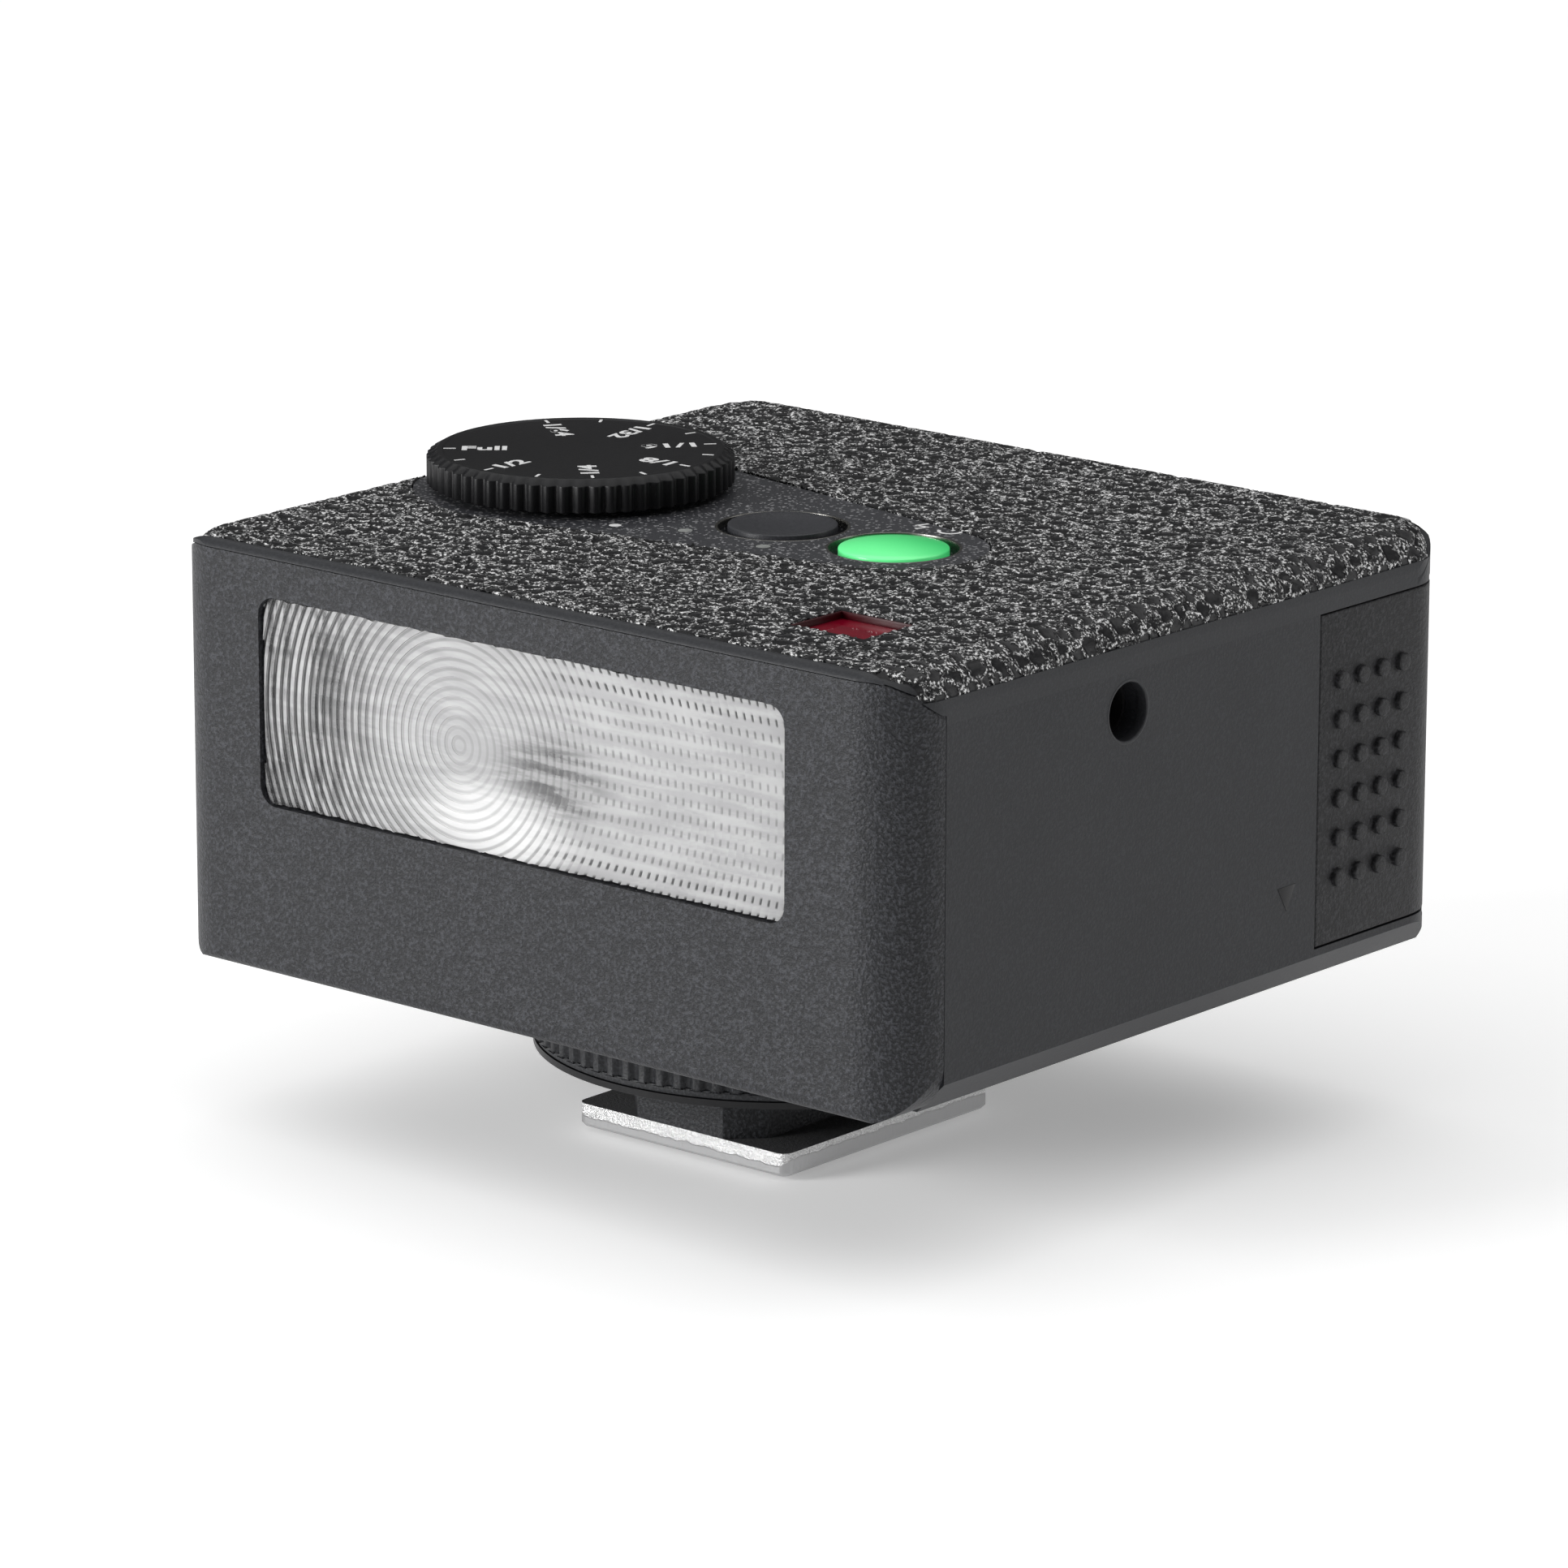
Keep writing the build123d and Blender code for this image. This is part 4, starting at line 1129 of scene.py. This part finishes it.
def buildRingPlate(x0, x1, y0, y1, z0, z1):
    centre = Vector((lensSet["centreX"], y0, lensSet["centreZ"]))
    reach = max(abs(x0 - centre.x), abs(x1 - centre.x)) + lensSet["past"]
    count = int(reach / lensSet["pitch"])
    piece = addPoint(centre)
    previous = centre.copy()
    for ring in range(count):  # a saw-tooth line, one riser and one facet a ring
        far = (ring + 1) * lensSet["pitch"]
        drop = lensSet["deep"] * min(1.0, 0.15 + far / reach)
        root = Vector((centre.x + far, y0 + drop, centre.z))
        crest = Vector((centre.x + far + lensSet["riser"], y0, centre.z))
        for spot in (root, crest):
            bpy.ops.mesh.extrude_region_move(TRANSFORM_OT_translate={"value": spot - previous})
            previous = spot
    bpy.ops.mesh.select_all(action="SELECT")
    bpy.ops.mesh.spin(steps=lensSet["steps"], angle=2 * math.pi, center=centre, axis=(0, 1, 0))
    bpy.ops.mesh.select_all(action="SELECT")
    bpy.ops.mesh.remove_doubles(threshold=0.002 * mm)
    closeMesh()
    trimToWindow(piece, x0, x1, z0, z1)
    openMesh(piece, "EDGE")
    bpy.ops.mesh.select_all(action="DESELECT")
    bpy.ops.mesh.select_non_manifold()
    bpy.ops.mesh.extrude_region_move(TRANSFORM_OT_translate={"value": (0, y1 - y0, 0)})
    bpy.ops.transform.resize(value=(1, 0, 1), center_override=(0, y1, 0))
    bpy.ops.mesh.edge_face_add()
    bpy.ops.mesh.select_all(action="SELECT")
    bpy.ops.mesh.normals_make_consistent(inside=False)
    closeMesh()
    return piece


def buildBandPlate(x0, x1, y0, y1, z0, z1):
    size = (x1 - x0, y1 - y0, z1 - z0)
    bpy.ops.mesh.primitive_cube_add(size=1, location=((x0 + x1) / 2, (y0 + y1) / 2, (z0 + z1) / 2))
    piece = bpy.context.object
    piece.scale = size
    settle(piece)
    openMesh(piece, "EDGE")
    bpy.ops.mesh.select_all(action="DESELECT")
    closeMesh()
    for edge in piece.data.edges:
        a, b = (piece.data.vertices[i].co for i in edge.vertices)
        edge.select = abs(a.z - b.z) > mm  # the upright edges
    openMesh(piece, "EDGE")
    bpy.ops.mesh.subdivide(number_cuts=lensSet["bandCuts"])
    closeMesh()
    for point in piece.data.vertices:
        if point.co.y < (y0 + y1) / 2:
            wave = math.cos(2 * math.pi * (point.co.z - z0) / lensSet["bandPitch"])
            point.co.y += lensSet["bandHigh"] * (0.5 + 0.5 * wave)
    return piece


def buildLens():
    low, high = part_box("fresnel_lens")
    flange = lensSet["flange"]
    x0, x1 = low.x + flange, high.x - flange
    z0, z1 = low.z + flange, high.z - flange
    middle = low.y + lensSet["ringThick"]
    rings = buildRingPlate(x0, x1, low.y, middle, z0, z1)
    bands = buildBandPlate(x0, x1, middle + lensSet["airGap"], high.y, z0, z1)
    piece = joinPieces([rings, bands], "lens_pane")
    finishPiece(piece, "case", "lens", ["fresnel_lens"], 12)
    print("lens:", len(piece.data.polygons), "faces")


# Battery door: an L-shaped panel with round studs

doorSet = {
    "corner": 4.4 * mm,
    "thick": 1.6 * mm,
    "soften": 0.14,
    "studs": (4, 6),
    "pitch": (2.27 * mm, 2.72 * mm),
    "first": (19.15 * mm, 18.7 * mm),
    "studRadius": 0.62 * mm,
    "studHigh": 0.35 * mm,
    "studCrown": 0.04 * mm,
    "studDeep": 0.4 * mm,
    "studBevel": 0.16 * mm,
    "cornerSteps": 14,
    "railHigh": 0.35 * mm,
    "railThick": 0.5 * mm,
    "railLap": 0.3 * mm,
    "railSunk": 0.85 * mm,
    "railFrom": 0.6 * mm,
    "railPast": 1.4 * mm,
    "gap": 0.1 * mm,
}


def buildDoor():
    low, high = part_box("battery_door")
    outer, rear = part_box("lower_housing")[1].x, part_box("lower_housing")[1].y
    z0, z1 = low.z + doorSet["railHigh"] + doorSet["gap"], high.z - doorSet["railHigh"]
    corner = doorSet["corner"]
    piece = addPoint((outer, low.y, z0))
    bpy.ops.mesh.extrude_region_move(TRANSFORM_OT_translate={"value": (0, rear - corner - low.y, 0)})
    bpy.ops.mesh.spin(
        steps=doorSet["cornerSteps"], angle=-math.pi / 2, center=(outer - corner, rear - corner, z0),
        axis=(0, 0, 1))
    bpy.ops.mesh.extrude_region_move(TRANSFORM_OT_translate={"value": (low.x - outer + corner, 0, 0)})
    bpy.ops.mesh.select_all(action="SELECT")
    bpy.ops.mesh.extrude_region_move(TRANSFORM_OT_translate={"value": (0, 0, z1 - z0)})
    bpy.ops.mesh.select_all(action="SELECT")
    bpy.ops.mesh.remove_doubles(threshold=0.01 * mm)
    bpy.ops.mesh.normals_make_consistent(inside=False)
    closeMesh()
    if max(piece.data.polygons, key=lambda face: face.center.x).normal.x < 0:
        openMesh(piece)
        bpy.ops.mesh.select_all(action="SELECT")
        bpy.ops.mesh.flip_normals()
        closeMesh()
    modify(piece, "SOLIDIFY", {"thickness": doorSet["thick"], "offset": -1.0})
    soften(piece, doorSet["soften"], 3, 40)
    parts = [piece]
    for column in range(doorSet["studs"][0]):
        for row in range(doorSet["studs"][1]):
            y = doorSet["first"][0] + column * doorSet["pitch"][0]
            z = doorSet["first"][1] + row * doorSet["pitch"][1]
            parts.append(addStud(outer, y, z))
    start = low.y + doorSet["railFrom"]
    length = rear - corner + doorSet["railPast"] - start
    tall = doorSet["railHigh"] + doorSet["railLap"]
    for z in (low.z + doorSet["railHigh"] / 2, high.z - doorSet["railHigh"] / 2):  # under the housing's lips
        place = (outer - doorSet["railSunk"], start + length / 2, z)
        parts.append(flatBar(place, doorSet["railThick"], length, tall, 0))
    whole = joinPieces(parts, "door_panel")
    finishPiece(whole, "door", "door", ["battery_door"], 35)
    print("door:", len(whole.data.polygons), "faces")


def addStud(outer, y, z):
    deep = doorSet["studDeep"]
    middle = (outer + (doorSet["studHigh"] - deep) / 2, y, z)
    bpy.ops.mesh.primitive_cylinder_add(
        vertices=32, radius=doorSet["studRadius"], depth=doorSet["studHigh"] + deep,
        location=middle, rotation=(0, math.pi / 2, 0))
    stud = bpy.context.object
    settle(stud)
    pickFaces(stud, lambda place, normal: normal.x > 0.9)
    bpy.ops.mesh.inset(thickness=doorSet["studBevel"])
    bpy.ops.transform.translate(value=(doorSet["studCrown"], 0, 0))
    closeMesh()
    soften(stud, 0.07, 3, 20)
    return stud


# Sync jack rim and slide arrow

sideSet = {
    "jackHole": 2.0 * mm,
    "jackRimWide": 0.22 * mm,
    "jackRimDeep": 0.8 * mm,
    "jackRimProud": 0.02 * mm,
    "arrow": 1.7 * mm,
    "arrowThick": 0.08 * mm,
    "arrowSunk": 0.01 * mm,
    "arrowPlace": (13.6 * mm, 18.65 * mm),
}


def buildJackRim():
    low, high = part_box("sync_jack")
    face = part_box("lower_housing")[1].x
    deep = sideSet["jackRimDeep"]
    middle = (face - deep / 2 + sideSet["jackRimProud"], (low.y + high.y) / 2, (low.z + high.z) / 2)
    bpy.ops.mesh.primitive_cylinder_add(
        vertices=72, radius=sideSet["jackHole"] + sideSet["jackRimWide"], depth=deep,
        location=middle, rotation=(0, math.pi / 2, 0))
    piece = bpy.context.object
    piece.name = "jackRim"
    settle(piece)
    boreThrough(piece, lambda place, normal: abs(normal.x) > 0.9, sideSet["jackRimWide"] * 1.3)
    soften(piece, 0.1, 3, 40)
    finishPiece(piece, "case", "cover")


def buildArrow():  # a glossy pointer moulded beside the door, thin as a print
    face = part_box("lower_housing")[1].x
    y, z = sideSet["arrowPlace"]
    half = sideSet["arrow"] / 2
    bpy.ops.mesh.primitive_cylinder_add(
        vertices=3, radius=half * 1.35, depth=sideSet["arrowThick"],
        location=(face - sideSet["arrowSunk"], y, z), rotation=(0, math.pi / 2, 0))
    piece = bpy.context.object
    piece.name = "slideArrow"
    settle(piece)
    pickPoints(piece, lambda point: True)
    bpy.ops.transform.rotate(value=math.radians(90), orient_axis="X", center_override=(face, y, z))
    closeMesh()
    soften(piece, 0.02, 2, 30)
    finishPiece(piece, "case", "arrow")


# Floor

floorSet = {"size": 6.0, "under": 0.02 * mm, "cloud": 120.0, "rough": 0.8, "glow": 0.30}


def placeFloor():
    level = cadBounds[0][2] - floorSet["under"]
    bpy.ops.mesh.primitive_plane_add(size=floorSet["size"], location=(0, 0, level))
    floor = bpy.context.object
    floor.name = "floor"
    finish = Finish("paleFloor")
    cloud = finish.noise(floorSet["cloud"], 2.0)
    floor.data.materials.append(finish.surface({
        "Base Color": finish.blend(cloud, (0.93, 0.93, 0.93, 1), (0.96, 0.96, 0.96, 1)),
        "Roughness": floorSet["rough"],
        "Emission Color": (1, 1, 1, 1),
        "Emission Strength": floorSet["glow"],
    }))


placeCamera()
placeLights()
finishes = makeFinishes()
dressNodes()
placeFloor()
buildLeatherette()
buildDial()
buildButtons()
buildRing()
buildLens()
buildDoor()
buildJackRim()
buildArrow()
